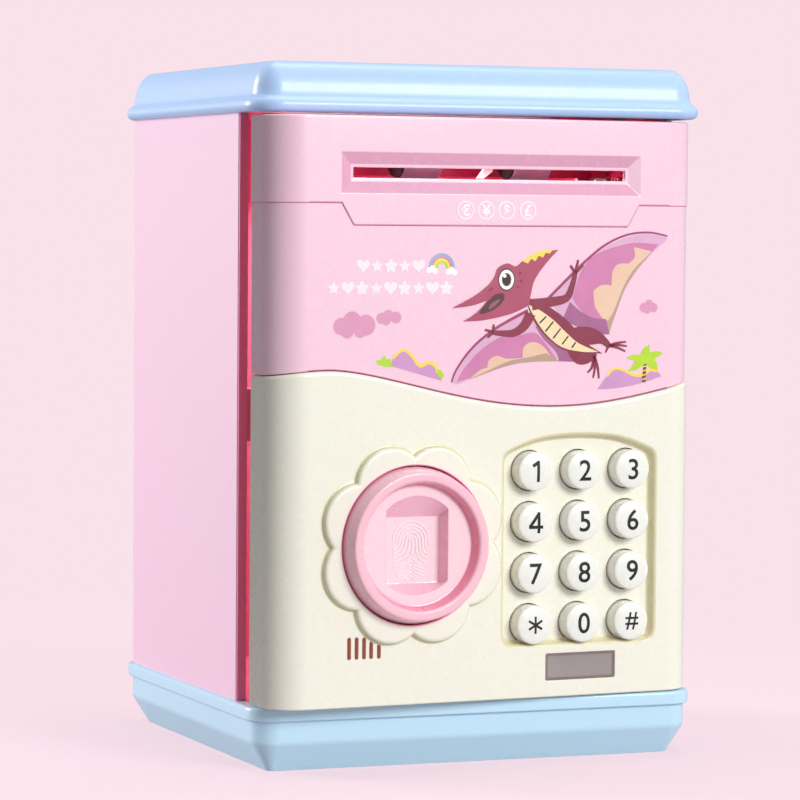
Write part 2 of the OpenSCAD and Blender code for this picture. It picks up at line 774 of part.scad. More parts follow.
function inv(a) = (tan(a) - a * PI / 180) * 180 / PI;
function flank(n, rho) =
    let (r = gear_m * n / 2, rb = r * cos(20), play = 0.12)
    90 / n + inv(20) - inv(rho > rb ? acos(rb / rho) : 0) - play / 2 / r * 180 / PI;
function gear_points(n) =
    let (r = gear_m * n / 2, tip = r + 0.75 * gear_m, root = r - 1.1 * gear_m, steps = 4,
         rho = [for (i = [0:steps]) root + (tip - root) * i / steps])
    [for (t = [0:n - 1]) let (c = t * 360 / n)
     each concat([for (q = rho) [q * cos(c - flank(n, q)), q * sin(c - flank(n, q))]],
                 [for (i = [steps:-1:0]) let (q = rho[i], a = c + flank(n, q)) [q * cos(a), q * sin(a)]])];

feed_r = gear_m * feed_teeth / 2;
idler_r = gear_m * idler_teeth / 2;
pinion_r = gear_m * pinion_teeth / 2;
train = [motor_y - roller_y, motor_z - roller_z];
train_d = norm(train);
along_d = (train_d ^ 2 + (feed_r + idler_r) ^ 2 - (idler_r + pinion_r) ^ 2) / (2 * train_d);
across_d = sqrt((feed_r + idler_r) ^ 2 - along_d ^ 2);
idler_y = roller_y + (along_d * train[0] - across_d * train[1]) / train_d;
idler_z = roller_z + (along_d * train[1] + across_d * train[0]) / train_d;
feed_phase = atan2(idler_z - roller_z, idler_y - roller_y);
idler_phase = feed_phase + 180 + 180 / idler_teeth;
pinion_dir = atan2(motor_z - idler_z, motor_y - idler_y);
pinion_phase = pinion_dir + 180 + 180 / pinion_teeth
    - (idler_phase - pinion_dir) * idler_teeth / pinion_teeth;

module gear(y, z, teeth, phase, bore_r) {
    along_x(gear_x, y, z) rotate([0, 0, phase]) linear_extrude(gear_w) difference() {
        polygon(gear_points(teeth));
        circle(r = bore_r);
    }
}

module feed_shaft() on_door() color("silver")
    post_x(roller_y, roller_z, bracket_x[0] - 0.6, bracket_x[1] + bracket_t + 0.4, shaft_r);

module roller_hubs() on_door() color("dimgray")
    for (s = [-1, 1]) difference() {
        union() {
            post_x(roller_y, roller_z, s * roller_x - roller_w / 2 - 0.5,
                   s * roller_x + roller_w / 2 + 0.5, hub_r);
            post_x(roller_y, roller_z, s * roller_x - roller_w / 2 - 1,
                   s * roller_x - roller_w / 2, hub_flange_r);
        }
        post_x(roller_y, roller_z, s * roller_x - roller_w, s * roller_x + roller_w, shaft_r);
    }

module roller_tyres() on_door() color("gray")
    for (s = [-1, 1]) along_x(s * roller_x - roller_w / 2, roller_y, roller_z)
        linear_extrude(roller_w) difference() {
            circle(r = roller_r);
            circle(r = hub_r);
        }

module feed_gear() on_door() color("white") gear(roller_y, roller_z, feed_teeth, feed_phase, shaft_r);

axle_r = 1;

module idler_gear() on_door() color("white")
    gear(idler_y, idler_z, idler_teeth, idler_phase, axle_r + 0.05);

module idler_axle() on_door() color("silver")
    post_x(idler_y, idler_z, gear_x - 1, upper_housing[1] - housing_t, axle_r);

module motor_pinion() on_door() color("gold") {
    gear(motor_y, motor_z, pinion_teeth, pinion_phase, axle_r);
    post_x(motor_y, motor_z, motor_x[1] - 0.8, gear_x + gear_w, axle_r);
}

module feed_motor() on_door() color("silver") difference() {
    union() {
        block(gearbox_x, motor_x[1], motor_y - 6, motor_y + 6, motor_z - 5, motor_z + 5);
        intersection() {
            block(motor_x[0], gearbox_x, motor_y - 6, motor_y + 6, motor_z - 5, motor_z + 5);
            post_x(motor_y, motor_z, motor_x[0] - 1, gearbox_x + 1, motor_r);
        }
    }
    post_x(motor_y, motor_z, motor_x[1] - 1, motor_x[1] + 1, axle_r + 0.1);
}

module pinch_rollers() on_door() color("white") {
    post_x(roller_y, pinch_z, bracket_x[0] - 0.6, bracket_x[1] + bracket_t + 0.4, pinch_shaft_r);
    for (s = [-1, 1])
        post_x(roller_y, pinch_z, s * roller_x - roller_w / 2, s * roller_x + roller_w / 2, pinch_r);
}

module roller_brackets() on_door() color("crimson") difference() {
    for (x = bracket_x)
        block(x, x + bracket_t, roller_y - 3, housing_in, pinch_z - 2.5, roller_z + 2.8);
    for (x = bracket_x) {
        post_x(roller_y, roller_z, x - 1, x + bracket_t + 1, shaft_r + 0.06);
        post_x(roller_y, pinch_z, x - 1, x + bracket_t + 1, pinch_shaft_r + 0.06);
    }
    post_x(idler_y, idler_z, bracket_x[1] - 1, bracket_x[1] + bracket_t + 1, axle_r);
}

module bill_guide() on_door() color("crimson") difference() {
    block(-guide_half_w, guide_half_w, pink_in + 0.1, housing_in - 0.1, guide_z, guide_z + guide_t);
    for (s = [-1, 1])
        block(s * roller_x - roller_w / 2 - 0.8, s * roller_x + roller_w / 2 + 0.8,
              roller_y - 3.4, roller_y + 3.4, guide_z - 1, guide_z + guide_t + 1);
    block(-guide_half_w - 1, guide_half_w + 1, roller_y - 1.5, roller_y + 1.5, guide_z - 1,
          pinch_z + pinch_shaft_r + 0.3);
}

module sensor_pin() on_door() color("silver")
    post_x(lever_y, lever_z, lever_ear_x[0], lever_ear_x[1] + lever_ear_w, lever_pin_r);

module sensor_lever() on_door() color("white") {
    difference() {
        post_x(lever_y, lever_z, -1.5, 3, 1.7);
        post_x(lever_y, lever_z, -2, 4, lever_pin_r + 0.05);
    }
    translate([0, lever_y + 0.6, 0]) rotate([90, 0, 0]) linear_extrude(1.2)
        polygon([[0.6, lever_z - 1.2], [3, lever_z - 1.2], [2.2, 161.2], [-0.6, 159.2],
                 [-2.4, 159.2], [-0.2, 162]]);
}

body_shell();
wall_liner();
floor_plate();
ceiling_plate();
top_cap();
base_tray();
hinge_pins();
strike_plate();
base_screws();
cap_screws();
door_upper_panel();
door_lower_panel();
door_back_cover();
door_screws();
battery_box();
battery_cover();
battery_cover_screw();
batteries();
battery_contacts();
circuit_board();
key_membrane();
indicator_window();
indicator_leds();
speaker_frame();
speaker_cone();
tact_switch();
latch_solenoid();
feed_motor();
roller_brackets();
bill_guide();
idler_axle();
sensor_pin();
for (j = [0:3], i = [0:2])
    key(i, j);
fingerprint_button();
button_spring();
latch_bolt();
feed_shaft();
roller_hubs();
roller_tyres();
feed_gear();
idler_gear();
motor_pinion();
pinch_rollers();
sensor_lever();
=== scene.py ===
"""Looks of the toy safe coin bank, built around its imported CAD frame. Lengths are in millimetres."""
import json
import math

import bmesh
import bpy
from mathutils import Matrix, Vector
from mathutils.geometry import delaunay_2d_cdt


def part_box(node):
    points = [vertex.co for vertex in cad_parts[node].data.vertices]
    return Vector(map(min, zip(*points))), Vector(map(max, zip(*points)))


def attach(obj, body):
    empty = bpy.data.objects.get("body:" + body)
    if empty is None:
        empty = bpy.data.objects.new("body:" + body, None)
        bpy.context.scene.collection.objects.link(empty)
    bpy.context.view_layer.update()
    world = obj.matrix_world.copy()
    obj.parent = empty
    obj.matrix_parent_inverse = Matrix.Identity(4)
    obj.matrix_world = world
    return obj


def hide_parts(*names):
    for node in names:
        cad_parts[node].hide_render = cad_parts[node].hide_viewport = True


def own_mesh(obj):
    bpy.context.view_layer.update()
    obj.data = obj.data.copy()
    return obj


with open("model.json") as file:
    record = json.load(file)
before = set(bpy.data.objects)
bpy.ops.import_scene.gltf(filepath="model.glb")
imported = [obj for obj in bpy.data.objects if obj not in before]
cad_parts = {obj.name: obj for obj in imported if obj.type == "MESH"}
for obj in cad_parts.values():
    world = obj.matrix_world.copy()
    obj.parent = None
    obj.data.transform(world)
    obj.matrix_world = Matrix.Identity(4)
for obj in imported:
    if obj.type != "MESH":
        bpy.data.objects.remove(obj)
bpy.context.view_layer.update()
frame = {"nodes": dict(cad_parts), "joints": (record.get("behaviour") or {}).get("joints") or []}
MM = 0.001

# ---------------------------------------------------------------- places taken from the frame

joints = {j["name"]: j for j in frame["joints"]}
hinge = Vector(joints["door_hinge"]["pos_m"]) / MM
press = joints["key_1_press"]["axis"]
AJAR = math.atan2(-press[0], press[1])
SHUT = Matrix.Translation(hinge) @ Matrix.Rotation(AJAR, 4, "Z") @ Matrix.Translation(-hinge)
SCALE = Matrix.Scale(MM, 4)
ON_BODY = SCALE
ON_DOOR = SCALE @ SHUT


def body_box(node):
    """Lowest and highest corner of a node, in mm."""
    low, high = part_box(node)
    return low / MM, high / MM


def door_box(node):
    """Lowest and highest corner of a node in the door's own frame, with the door shut, in mm."""
    back = ON_DOOR.inverted()
    points = [back @ v.co for v in frame["nodes"][node].data.vertices]
    return tuple(Vector([pick(p[i] for p in points) for i in range(3)]) for pick in (min, max))


def centre(box):
    return (box[0] + box[1]) / 2


# ---------------------------------------------------------------- mesh helpers

# edges sharper than this are shaded as creases
SHARP = math.radians(32)
# points closer than this, in metres, are one
MERGE = 1e-7
# how deep the back of a print lies under the surface that it is on
PRINT_BACK = 0.05


def new_object(name, data):
    """An object in the scene, made of a mesh, curve, camera or light."""
    obj = bpy.data.objects.new(name, data)
    bpy.context.scene.collection.objects.link(obj)
    return obj


class Build:
    """A mesh under way, with the keys of its materials in MAT. Points are in mm, in the frame of the
    matrix given to done()."""

    def __init__(self, *keys):
        self.bm = bmesh.new()
        self.keys = list(keys)
        self.paint = 0

    def use(self, key):
        """The faces made from now on get this material."""
        if key not in self.keys:
            self.keys.append(key)
        self.paint = self.keys.index(key)

    def loop(self, points):
        return [self.bm.verts.new(p) for p in points]

    def face(self, verts):
        self.bm.faces.new(verts).material_index = self.paint

    def bridge(self, a, b, closed=True):
        """Quads between two loops of as many points."""
        n = len(a)
        for i in range(n if closed else n - 1):
            j = (i + 1) % n
            self.face((a[i], a[j], b[j], b[i]))

    def rings(self, loops, closed=True):
        for a, b in zip(loops, loops[1:]):
            self.bridge(a, b, closed)

    def fill(self, loops, normal):
        """A flat face bounded by the first loop, with the others as holes."""
        edges = set()
        for loop in loops:
            for a, b in zip(loop, loop[1:] + loop[:1]):
                edges.add(self.bm.edges.get((a, b)) or self.bm.edges.new((a, b)))
        made = bmesh.ops.triangle_fill(self.bm, use_beauty=True, edges=list(edges), normal=normal)
        for g in made["geom"]:
            if isinstance(g, bmesh.types.BMFace):
                g.material_index = self.paint

    def slab(self, outline, front, back):
        """A flat closed slab: its outline's points go through front() and back() to their places."""
        pts = [Vector(p) for p in outline]
        n = len(pts)
        ring = [(i, (i + 1) % n) for i in range(n)]
        verts, _, faces, _, _, _ = delaunay_2d_cdt(pts, ring, [], 1, 1e-5)
        tops = [self.bm.verts.new(front(*v)) for v in verts]
        backs = [self.bm.verts.new(back(*v)) for v in verts]
        border = {}
        for f in faces:
            self.face([tops[i] for i in f])
            self.face([backs[i] for i in reversed(f)])
            for i, j in zip(f, list(f[1:]) + [f[0]]):
                if (j, i) in border:
                    del border[(j, i)]
                else:
                    border[(i, j)] = True
        for i, j in border:
            self.face((tops[i], backs[i], backs[j], tops[j]))

    def done(self, name, body, matrix, stands_for, finish):
        """The finished object. It rides on body, and replaces the nodes in stands_for."""
        bm = self.bm
        bmesh.ops.transform(bm, matrix=matrix, verts=bm.verts)
        bmesh.ops.remove_doubles(bm, verts=bm.verts, dist=MERGE)
        bmesh.ops.recalc_face_normals(bm, faces=bm.faces)
        mesh = bpy.data.meshes.new(name)
        bm.to_mesh(mesh)
        bm.free()
        obj = new_object(name, mesh)
        for key in self.keys:
            mesh.materials.append(MAT[key])
        mesh.shade_smooth()
        mesh.set_sharp_from_angle(angle=SHARP)
        weighted = obj.modifiers.new("weighted_normals", "WEIGHTED_NORMAL")
        weighted.keep_sharp = True
        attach(obj, body)
        if stands_for:
            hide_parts(*stands_for)
        return obj


def arc(cx, cy, r, a0, a1, n):
    """Points of an arc in a plane, from angle a0 to a1 in degrees."""
    angles = [math.radians(a0 + (a1 - a0) * i / n) for i in range(n + 1)]
    return [(cx + r * math.cos(a), cy + r * math.sin(a)) for a in angles]


def rounded(x0, x1, y0, y1, r, n=6):
    """Rounded rectangle, counterclockwise."""
    corners = ((x1 - r, y1 - r), (x0 + r, y1 - r), (x0 + r, y0 + r), (x1 - r, y0 + r))
    out = []
    for quarter, (cx, cy) in enumerate(corners):
        out += arc(cx, cy, r, 90 * quarter, 90 * quarter + 90, n)
    return out


def circle(cx, cy, r, n=48):
    angles = [math.tau * k / n for k in range(n)]
    return [(cx + r * math.cos(a), cy + r * math.sin(a)) for a in angles]


def at_y(points, y):
    """Plane points (x, z) as places on the door at depth y."""
    return [(x, y, z) for x, z in points]


def at_z(points, z):
    return [(x, y, z) for x, y in points]


def revolve(build, cx, cz, profile, n=64):
    """Rings about the line through (cx, cz) along Y, from (radius, y) pairs. A radius of 0 closes
    the end."""
    rings = []
    for r, y in profile:
        rings.append(build.loop(at_y(circle(cx, cz, r, n), y)) if r > 0 else build.loop([(cx, y, cz)]))
    for a, b in zip(rings, rings[1:]):
        if len(a) == 1 or len(b) == 1:
            tip, ring = (a[0], b) if len(a) == 1 else (b[0], a)
            for i in range(n):
                build.face((tip, ring[i], ring[(i + 1) % n]))
        else:
            build.bridge(a, b)
    return rings


def quarter_turn(a0, b0, a1, b1, n=4):
    """Pairs along a quarter turn from (a0, b0) to (a1, b1), that leaves the first one along b."""
    angles = [math.pi / 2 * i / n for i in range(n + 1)]
    return [(a0 + (a1 - a0) * (1 - math.cos(a)), b0 + (b1 - b0) * math.sin(a)) for a in angles]


# ---------------------------------------------------------------- materials

def srgb(code):
    """Linear colour of a hex code."""
    out = []
    for i in (0, 2, 4):
        v = int(code[i:i + 2], 16) / 255
        out.append(v / 12.92 if v <= 0.04045 else ((v + 0.055) / 1.055) ** 2.4)
    return (*out, 1.0)


def set_sockets(node, values):
    """Sets the plain values of a node's own sockets."""
    for socket, value in values.items():
        node.inputs[socket].default_value = value


class Nodes:
    """The nodes of a material or a world. main is its ready-made shader."""

    def __init__(self, owner, main):
        owner.use_nodes = True
        self.tree = owner.node_tree
        self.main = self.tree.nodes[main]
        self.place = self.add("TexCoord")

    def add(self, kind, values=None, **settings):
        """A new node with its settings and some of its sockets' values."""
        node = self.tree.nodes.new("ShaderNode" + kind)
        for name, value in settings.items():
            setattr(node, name, value)
        set_sockets(node, values or {})
        return node

    def join(self, source, output, target, socket):
        self.tree.links.new(source.outputs[output], target.inputs[socket])

    def noise(self, scale, detail, target, socket):
        """Noise that is fixed to the surface, into a socket of the target node."""
        texture = self.add("TexNoise", {"Scale": scale, "Detail": detail})
        self.join(self.place, "Object", texture, "Vector")
        self.join(texture, "Fac", target, socket)

    def mottled(self, low, high, scale, detail=3.0):
        """Base colour that drifts softly between two near colours, given as hex codes."""
        ramp = self.add("ValToRGB")
        for end, position, code in zip(ramp.color_ramp.elements, (0.25, 0.75), (low, high)):
            end.position = position
            end.color = srgb(code)
        self.noise(scale, detail, ramp, "Fac")
        self.join(ramp, "Color", self.main, "Base Color")

    def rough_patches(self, low, high, scale):
        """Roughness that varies a little between two values, as handled or moulded plastic does."""
        span = self.add("MapRange", {"From Min": 0.2, "From Max": 0.8, "To Min": low, "To Max": high})
        self.noise(scale, 4.0, span, "Value")
        self.join(span, "Result", self.main, "Roughness")

    def grain(self, scale, strength, distance=0.0001):
        """Fine bump: the orange peel or grain of the surface."""
        bump = self.add("Bump", {"Strength": strength, "Distance": distance})
        self.noise(scale, 2.0, bump, "Height")
        self.join(bump, "Normal", self.main, "Normal")


def new_material(name):
    m = bpy.data.materials.new(name)
    return m, Nodes(m, "Principled BSDF")


def plastic(name, low, high, rough=(0.24, 0.3), coat=0.3, glow=0.08, peel=0.08):
    """Glossy injection-moulded plastic with a faint orange peel and a little light inside it."""
    m, nodes = new_material(name)
    nodes.mottled(low, high, 800.0, 2.0)
    nodes.rough_patches(*rough, 220.0)
    nodes.grain(700.0, peel, 0.00004)
    set_sockets(nodes.main, {
        "Coat Weight": coat, "Coat Roughness": 0.12, "IOR": 1.5,
        "Subsurface Weight": glow, "Subsurface Radius": (0.004, 0.002, 0.002), "Subsurface Scale": 0.5,
    })
    return m


def metal(name, low, high, rough=(0.25, 0.4)):
    """Plated or drawn metal with fine marks."""
    m, nodes = new_material(name)
    nodes.mottled(low, high, 120.0)
    nodes.rough_patches(*rough, 300.0)
    nodes.grain(1500.0, 0.1)
    set_sockets(nodes.main, {"Metallic": 1.0})
    return m


def dull(name, low, high, rough=(0.6, 0.8), scale=900.0, bump=0.3):
    """Rubber, paper and matt plastic."""
    m, nodes = new_material(name)
    nodes.mottled(low, high, 150.0)
    nodes.rough_patches(*rough, 200.0)
    nodes.grain(scale, bump)
    return m


def ink(name, low, high, rough=0.35, coat=0.2):
    """Pad-printed ink: flat colour with a faint unevenness."""
    m, nodes = new_material(name)
    nodes.mottled(low, high, 180.0)
    nodes.rough_patches(rough - 0.05, rough + 0.1, 250.0)
    set_sockets(nodes.main, {"Coat Weight": coat, "Coat Roughness": 0.2})
    return m


def smoky(name, low, high):
    """Smoky translucent lens."""
    m, nodes = new_material(name)
    nodes.mottled(low, high, 40.0)
    nodes.rough_patches(0.12, 0.22, 80.0)
    nodes.grain(500.0, 0.08)
    set_sockets(nodes.main, {"Transmission Weight": 0.35, "Coat Weight": 0.5})
    return m


def board(name, mask, trace):
    """Green solder mask with paler copper traces under it."""
    m, nodes = new_material(name)
    cells = nodes.add("TexVoronoi", {"Scale": 220.0}, distance="MANHATTAN", feature="F1")
    ramp = nodes.add("ValToRGB")
    ramp.color_ramp.interpolation = "CONSTANT"
    ramp.color_ramp.elements[0].color = srgb(mask)
    ramp.color_ramp.elements[1].position = 0.55
    ramp.color_ramp.elements[1].color = srgb(trace)
    nodes.join(nodes.place, "Object", cells, "Vector")
    nodes.join(cells, "Distance", ramp, "Fac")
    nodes.join(ramp, "Color", nodes.main, "Base Color")
    nodes.rough_patches(0.25, 0.4, 90.0)
    return m


MAT = {
    "pink": plastic("pink_abs", "F6CCDC", "F7CFDF"),
    # darker pink of the banknote slot's bevel: painted shade
    "bevel": plastic("pink_bevel_shade_abs", "E2A6C0", "E5ABC5"),
    # dark rose on the pink panel's lower edge and on its step: painted shade in the seam and the step
    "seam_shade": plastic("pink_seam_shade_abs", "CB6A90", "D0729A"),
    "pink_wall": plastic("pink_wall_abs", "E8BFD5", "EAC2D7", rough=(0.45, 0.5), coat=0.0, peel=0.02),
    "button": plastic("button_abs", "F8C0CF", "F9C5D2"),
    "dish_shade": plastic("dish_shade_abs", "F293AD", "F498B1"),
    "pocket_shade": plastic("pocket_shade_abs", "F8BFD2", "FAC4D6"),
    "dish_floor": plastic("dish_floor_abs", "FAD5DE", "FBD9E1"),
    "ridge": plastic("ridge_abs", "FBE3EA", "FDE9EE"),
    "cream": plastic("cream_abs", "F0EEDE", "F2F0E1"),
    # darker yellow cream on the petals' sides and the keypad recess wall: painted shade
    "flank": plastic("cream_flank_shade_abs", "E0D9B4", "E4DDBA"),
    # brown of the speaker slots' walls: painted shade
    "grille": plastic("grille_shade_glow", "AE8474", "B88E7E", rough=(0.4, 0.5), coat=0.0),
    "blue": plastic("blue_abs", "AFCCF4", "B3D0F5", rough=(0.36, 0.42), coat=0.15),
    "blue_base": plastic("blue_base_abs", "BEE2F6", "C2E4F8", rough=(0.3, 0.36)),
    # crimson of the parts deep inside the door: painted shade of the pink plastic
    "crimson": plastic("crimson_abs", "A00C38", "B21242", rough=(0.3, 0.45), coat=0.1),
    # deep rose of the liner, the plates and the button's hole: painted shade of the pink plastic
    "rose_shade": plastic("rose_shade_abs", "EC86AA", "F08EB0", rough=(0.3, 0.45), coat=0.1),
    "key": plastic("key_abs", "EDEDE4", "F3F3EC", glow=0.12),
    "white": plastic("white_pom", "E6E6E2", "F1F1EE", rough=(0.3, 0.4), coat=0.0),
    "bolt": plastic("bolt_pom", "D9D7CF", "E4E2DA", rough=(0.35, 0.45), coat=0.0),
    "black": dull("black_plastic", "141416", "1E1E20", rough=(0.45, 0.6)),
    "tyre": dull("grey_rubber", "7E8090", "8A8C9C"),
    "silicone": dull("silicone", "C4C4BE", "D2D2CC", rough=(0.5, 0.65), bump=0.1),
    "paper": dull("cone_paper", "7A3C30", "8A483A", rough=(0.8, 0.95), scale=2200.0, bump=0.5),
    "steel": metal("zinc_steel", "A9AAAC", "C9CACB"),
    "brass": metal("brass", "C29A4A", "D9B566"),
    "copper": metal("copper_coil", "A5602F", "C37A42", rough=(0.35, 0.5)),
    "cell": plastic("cell_sleeve", "164B38", "1E6049", rough=(0.25, 0.35), coat=0.4, glow=0.0),
    "led": plastic("led_epoxy", "C42A20", "E04030", rough=(0.1, 0.2), coat=0.5, glow=0.3),
    "lens": smoky("smoky_lens", "B4AAA8", "C0B6B4"),
    "board": board("solder_mask", "0E4A2A", "1B6B3D"),
    "digit": ink("digit_ink", "06080C", "0B0D13", rough=0.6, coat=0.0),
    # darker edge of the indicator window's lens: painted shade
    "edge": ink("window_edge_shade", "7E6A68", "867270"),
    "pale": ink("pale_ink", "FFF0F6", "FFF5F9"),
    "snow": ink("white_ink", "FFF8FB", "FFFFFF"),
    "chalk": ink("pale_print_ink", "F1E4EA", "F4E9EE"),
    # thin dark line on the pink panel's step: painted shade
    "groove": ink("groove_shade_paint", "CF86A4", "D48EAB"),
    "maroon": ink("maroon_ink", "A8425F", "B14A68"),
    "plum": ink("plum_ink", "A03468", "A83C70"),
    "mouth": ink("mouth_ink", "54242F", "5C2A36"),
    "tongue": ink("tongue_ink", "93555F", "9B5D67"),
    "dark": ink("dark_maroon_ink", "84243F", "8F2C49"),
    "wing": ink("wing_ink", "CB78A6", "D380AE"),
    "haze": ink("wing_haze_ink", "D9A6C6", "DFB0CE"),
    "shade": ink("wing_shade_ink", "A05C88", "A96591"),
    "peach": ink("peach_ink", "E6BDA2", "EDC7AC"),
    "belly": ink("belly_ink", "F0D7A6", "F6E0B4"),
    "tan": ink("tan_ink", "B5967F", "BF9F88"),
    "yellow": ink("yellow_ink", "F5D545", "F9DE58"),
    "rosy": ink("rosy_ink", "DC6A8C", "E27896"),
    "cloud": ink("cloud_ink", "D990B2", "DF9ABA"),
    "hill": ink("hill_ink", "C98FC0", "D29AC8"),
    "green": ink("green_ink", "A9D320", "BCE02F"),
    "slate": ink("slate_ink", "97A3CC", "A4AFD6"),
    "ebony": ink("black_ink", "1A1218", "241A20"),
    "bark": ink("bark_ink", "6E4420", "7A4E28"),
}

# the speaker slots' walls are brown and glow a little: painted shade and painted light of the slots
grille_glow_shader = MAT["grille"].node_tree.nodes["Principled BSDF"]
set_sockets(grille_glow_shader, {"Emission Color": srgb("96604E"), "Emission Strength": 0.42})

# nodes that show the CAD's own mesh, by their material
CARRIED = {
    "pink_wall": ("body_shell",),
    # deep rose inside the body: painted shade
    "rose_shade": ("wall_liner", "floor_plate", "ceiling_plate", "strike_plate"),
    # crimson inside the door and the banknote feed: painted shade
    "crimson": ("door_back_cover", "battery_cover", "bill_guide", "roller_brackets", "feed_gear",
                "idler_gear"),
    "steel": ("hinge_pins", "base_screws", "cap_screws", "door_screws", "battery_cover_screw",
              "battery_contacts", "feed_shaft", "idler_axle", "sensor_pin", "button_spring", "feed_motor"),
    "black": ("battery_box", "speaker_frame", "tact_switch", "roller_hubs"),
    "tyre": ("roller_tyres",),
    "silicone": ("key_membrane",),
    "paper": ("speaker_cone",),
    "led": ("indicator_leds",),
    "board": ("circuit_board",),
    "copper": ("latch_solenoid",),
    "cell": ("batteries",),
    "brass": ("motor_pinion",),
    "white": ("pinch_rollers", "sensor_lever"),
    "bolt": ("latch_bolt",),
    "lens": ("indicator_window",),
}
for key, node_names in CARRIED.items():
    for node in node_names:
        mesh = frame["nodes"][node].data
        mesh.materials.clear()
        mesh.materials.append(MAT[key])

# ---------------------------------------------------------------- cap and base

SHELL_HIGH = body_box("body_shell")[1]
HALF_W = SHELL_HIGH.x
HALF_D = SHELL_HIGH.y
CORNER = 6.5
SHELL_WALL = 2.2


def plan(offset, z):
    """The body's outline grown by offset, at height z."""
    x, y = HALF_W + offset, HALF_D + offset
    return at_z(rounded(-x, x, -y, y, CORNER + offset, 10), z)


def cap():
    """The cap: a round bead along its lower edge, a tall brow and a coin slot in a flat top."""
    low, high = body_box("top_cap")
    slot_x, slot_y, slot_r = 16.0, 1.8, 0.6
    bead_r = 1.9
    brow_w, brow_h = 6.0, 8.6

    def brow(inset, start, n):
        """Steps up the brow's quarter ellipse, from the angle start to its flat top."""
        angles = [math.radians(start + (90 - start) * i / n) for i in range(n + 1)]
        return [(-brow_w + (brow_w - inset) * math.cos(a), high.z - brow_h + (brow_h - inset) * math.sin(a))
                for a in angles]

    b = Build("blue")
    bead = arc(high.x - HALF_W - bead_r, low.z + bead_r, bead_r, -90, 66, 14)
    bead_top = bead[-1][1]
    valley = [(0.62, bead_top + 0.55), (0.2, bead_top + 1.15)]
    skin = [b.loop(plan(o, z)) for o, z in [(-SHELL_WALL, low.z)] + bead + valley + brow(0.0, 8, 18)]
    inside = [skin[0]] + [b.loop(plan(o, z)) for o, z in brow(SHELL_WALL, 0, 6)]
    b.rings(skin)
    b.rings(inside)
    steps = quarter_turn(slot_r, high.z, 0.0, high.z - slot_r) + [(0.0, high.z - SHELL_WALL)]
    slot = [b.loop(at_z(rounded(-slot_x - o, slot_x + o, -slot_y - o, slot_y + o, slot_r + o, 5), z))
            for o, z in steps]
    b.rings(slot)
    b.fill([skin[-1], slot[0]], (0, 0, 1))
    b.fill([inside[-1], slot[-1]], (0, 0, -1))
    b.done("cap_shell", "safe_body", ON_BODY, ["top_cap"], "blue_cap")


def base():
    """The base: a foot, a waist, a lip round the walls, and a well and a boss for each screw."""
    high = body_box("base_tray")[1]
    lip = high.x - HALF_W
    floor_z = 2.0
    foot = [(-5.9, 0.0)] + [(-5.1 + 0.4 * math.sin(a), 0.4 - 0.4 * math.cos(a)) for a in (0.0, 0.5, 1.0)]
    waist = [(-0.5, 7.0), (-0.2, 7.6), (-0.05, 8.1), (0.0, 8.7), (0.0, 13.4), (0.15, 13.7)]
    rim = [(lip - 0.25, 13.95), (lip - 0.05, 14.15), (lip, 14.45), (lip, high.z - 0.9),
           (lip - 0.1, high.z - 0.5), (lip - 0.35, high.z - 0.2), (lip - 0.8, high.z)]
    inside = [(-SHELL_WALL + 0.1, high.z), (-SHELL_WALL, high.z - 0.15), (-SHELL_WALL, 8.6), (-6.2, floor_z)]
    well_steps = ((3.6, 0), (3.2, 0.4), (3.2, 10), (1.4, 10))
    boss_r, boss_top = 4.4, high.z - 2.3
    b = Build("blue_base")
    rings = [b.loop(plan(o, z)) for o, z in foot + waist + rim + inside]
    b.rings(rings)
    screws_low, screws_high = body_box("base_screws")
    screw_r = 1.1
    wells, bosses = [], []
    for x in (screws_low.x + screw_r, screws_high.x - screw_r):
        for y in (screws_low.y + screw_r, screws_high.y - screw_r):
            well = [b.loop(at_z(circle(x, y, r), z)) for r, z in well_steps]
            b.rings(well)
            b.fill([well[-1]], (0, 0, -1))
            wells.append(well[0])
            boss = [b.loop(at_z(circle(x, y, boss_r), z)) for z in (floor_z, boss_top)]
            b.rings(boss)
            b.fill([boss[-1]], (0, 0, 1))
            bosses.append(boss[0])
    b.fill([rings[0]] + wells, (0, 0, -1))
    b.fill([rings[-1]] + bosses, (0, 0, 1))
    b.done("base_shell", "safe_body", ON_BODY, ["base_tray"], "blue_cap")


cap()
base()

# ---------------------------------------------------------------- door panels

upper = door_box("door_upper_panel")
lower = door_box("door_lower_panel")
PINK_Y = upper[0].y
BACK_Y = upper[1].y
FLOWER_Y = lower[0].y
PETAL_RISE = 1.8
CREAM_Y = FLOWER_Y + PETAL_RISE
PANEL_T = 2.3
DOOR_R = 9.5
HINGE_R = 3.5
FLAT_X = HALF_W - DOOR_R
# the step between the pink panel's flat and its raised head
RAISE = 0.3
STEP_HALF = 0.12
# rows of points that a rolled edge takes, and those of the cream panel's longer top edge
EDGE_ROWS = 4
CREAM_TOP_ROWS = 6


def seam_z(x):
    """Height of the line between the pink and the cream panel: a hump on the left, a valley on the right."""
    mid, swing = 102.6, 5.2
    hump_x, valley_x = -48.0, 20.0
    hump_half, valley_quarter = 68, 38
    lean = 0.8
    if x < hump_x:
        return mid + swing * math.cos(math.pi * (hump_x - x) / hump_half)
    if x < valley_x:
        return mid + swing * math.cos(math.pi * ((x - hump_x) / (valley_x - hump_x)) ** lean)
    return mid - swing * math.cos(math.pi / 2 * (x - valley_x) / valley_quarter)


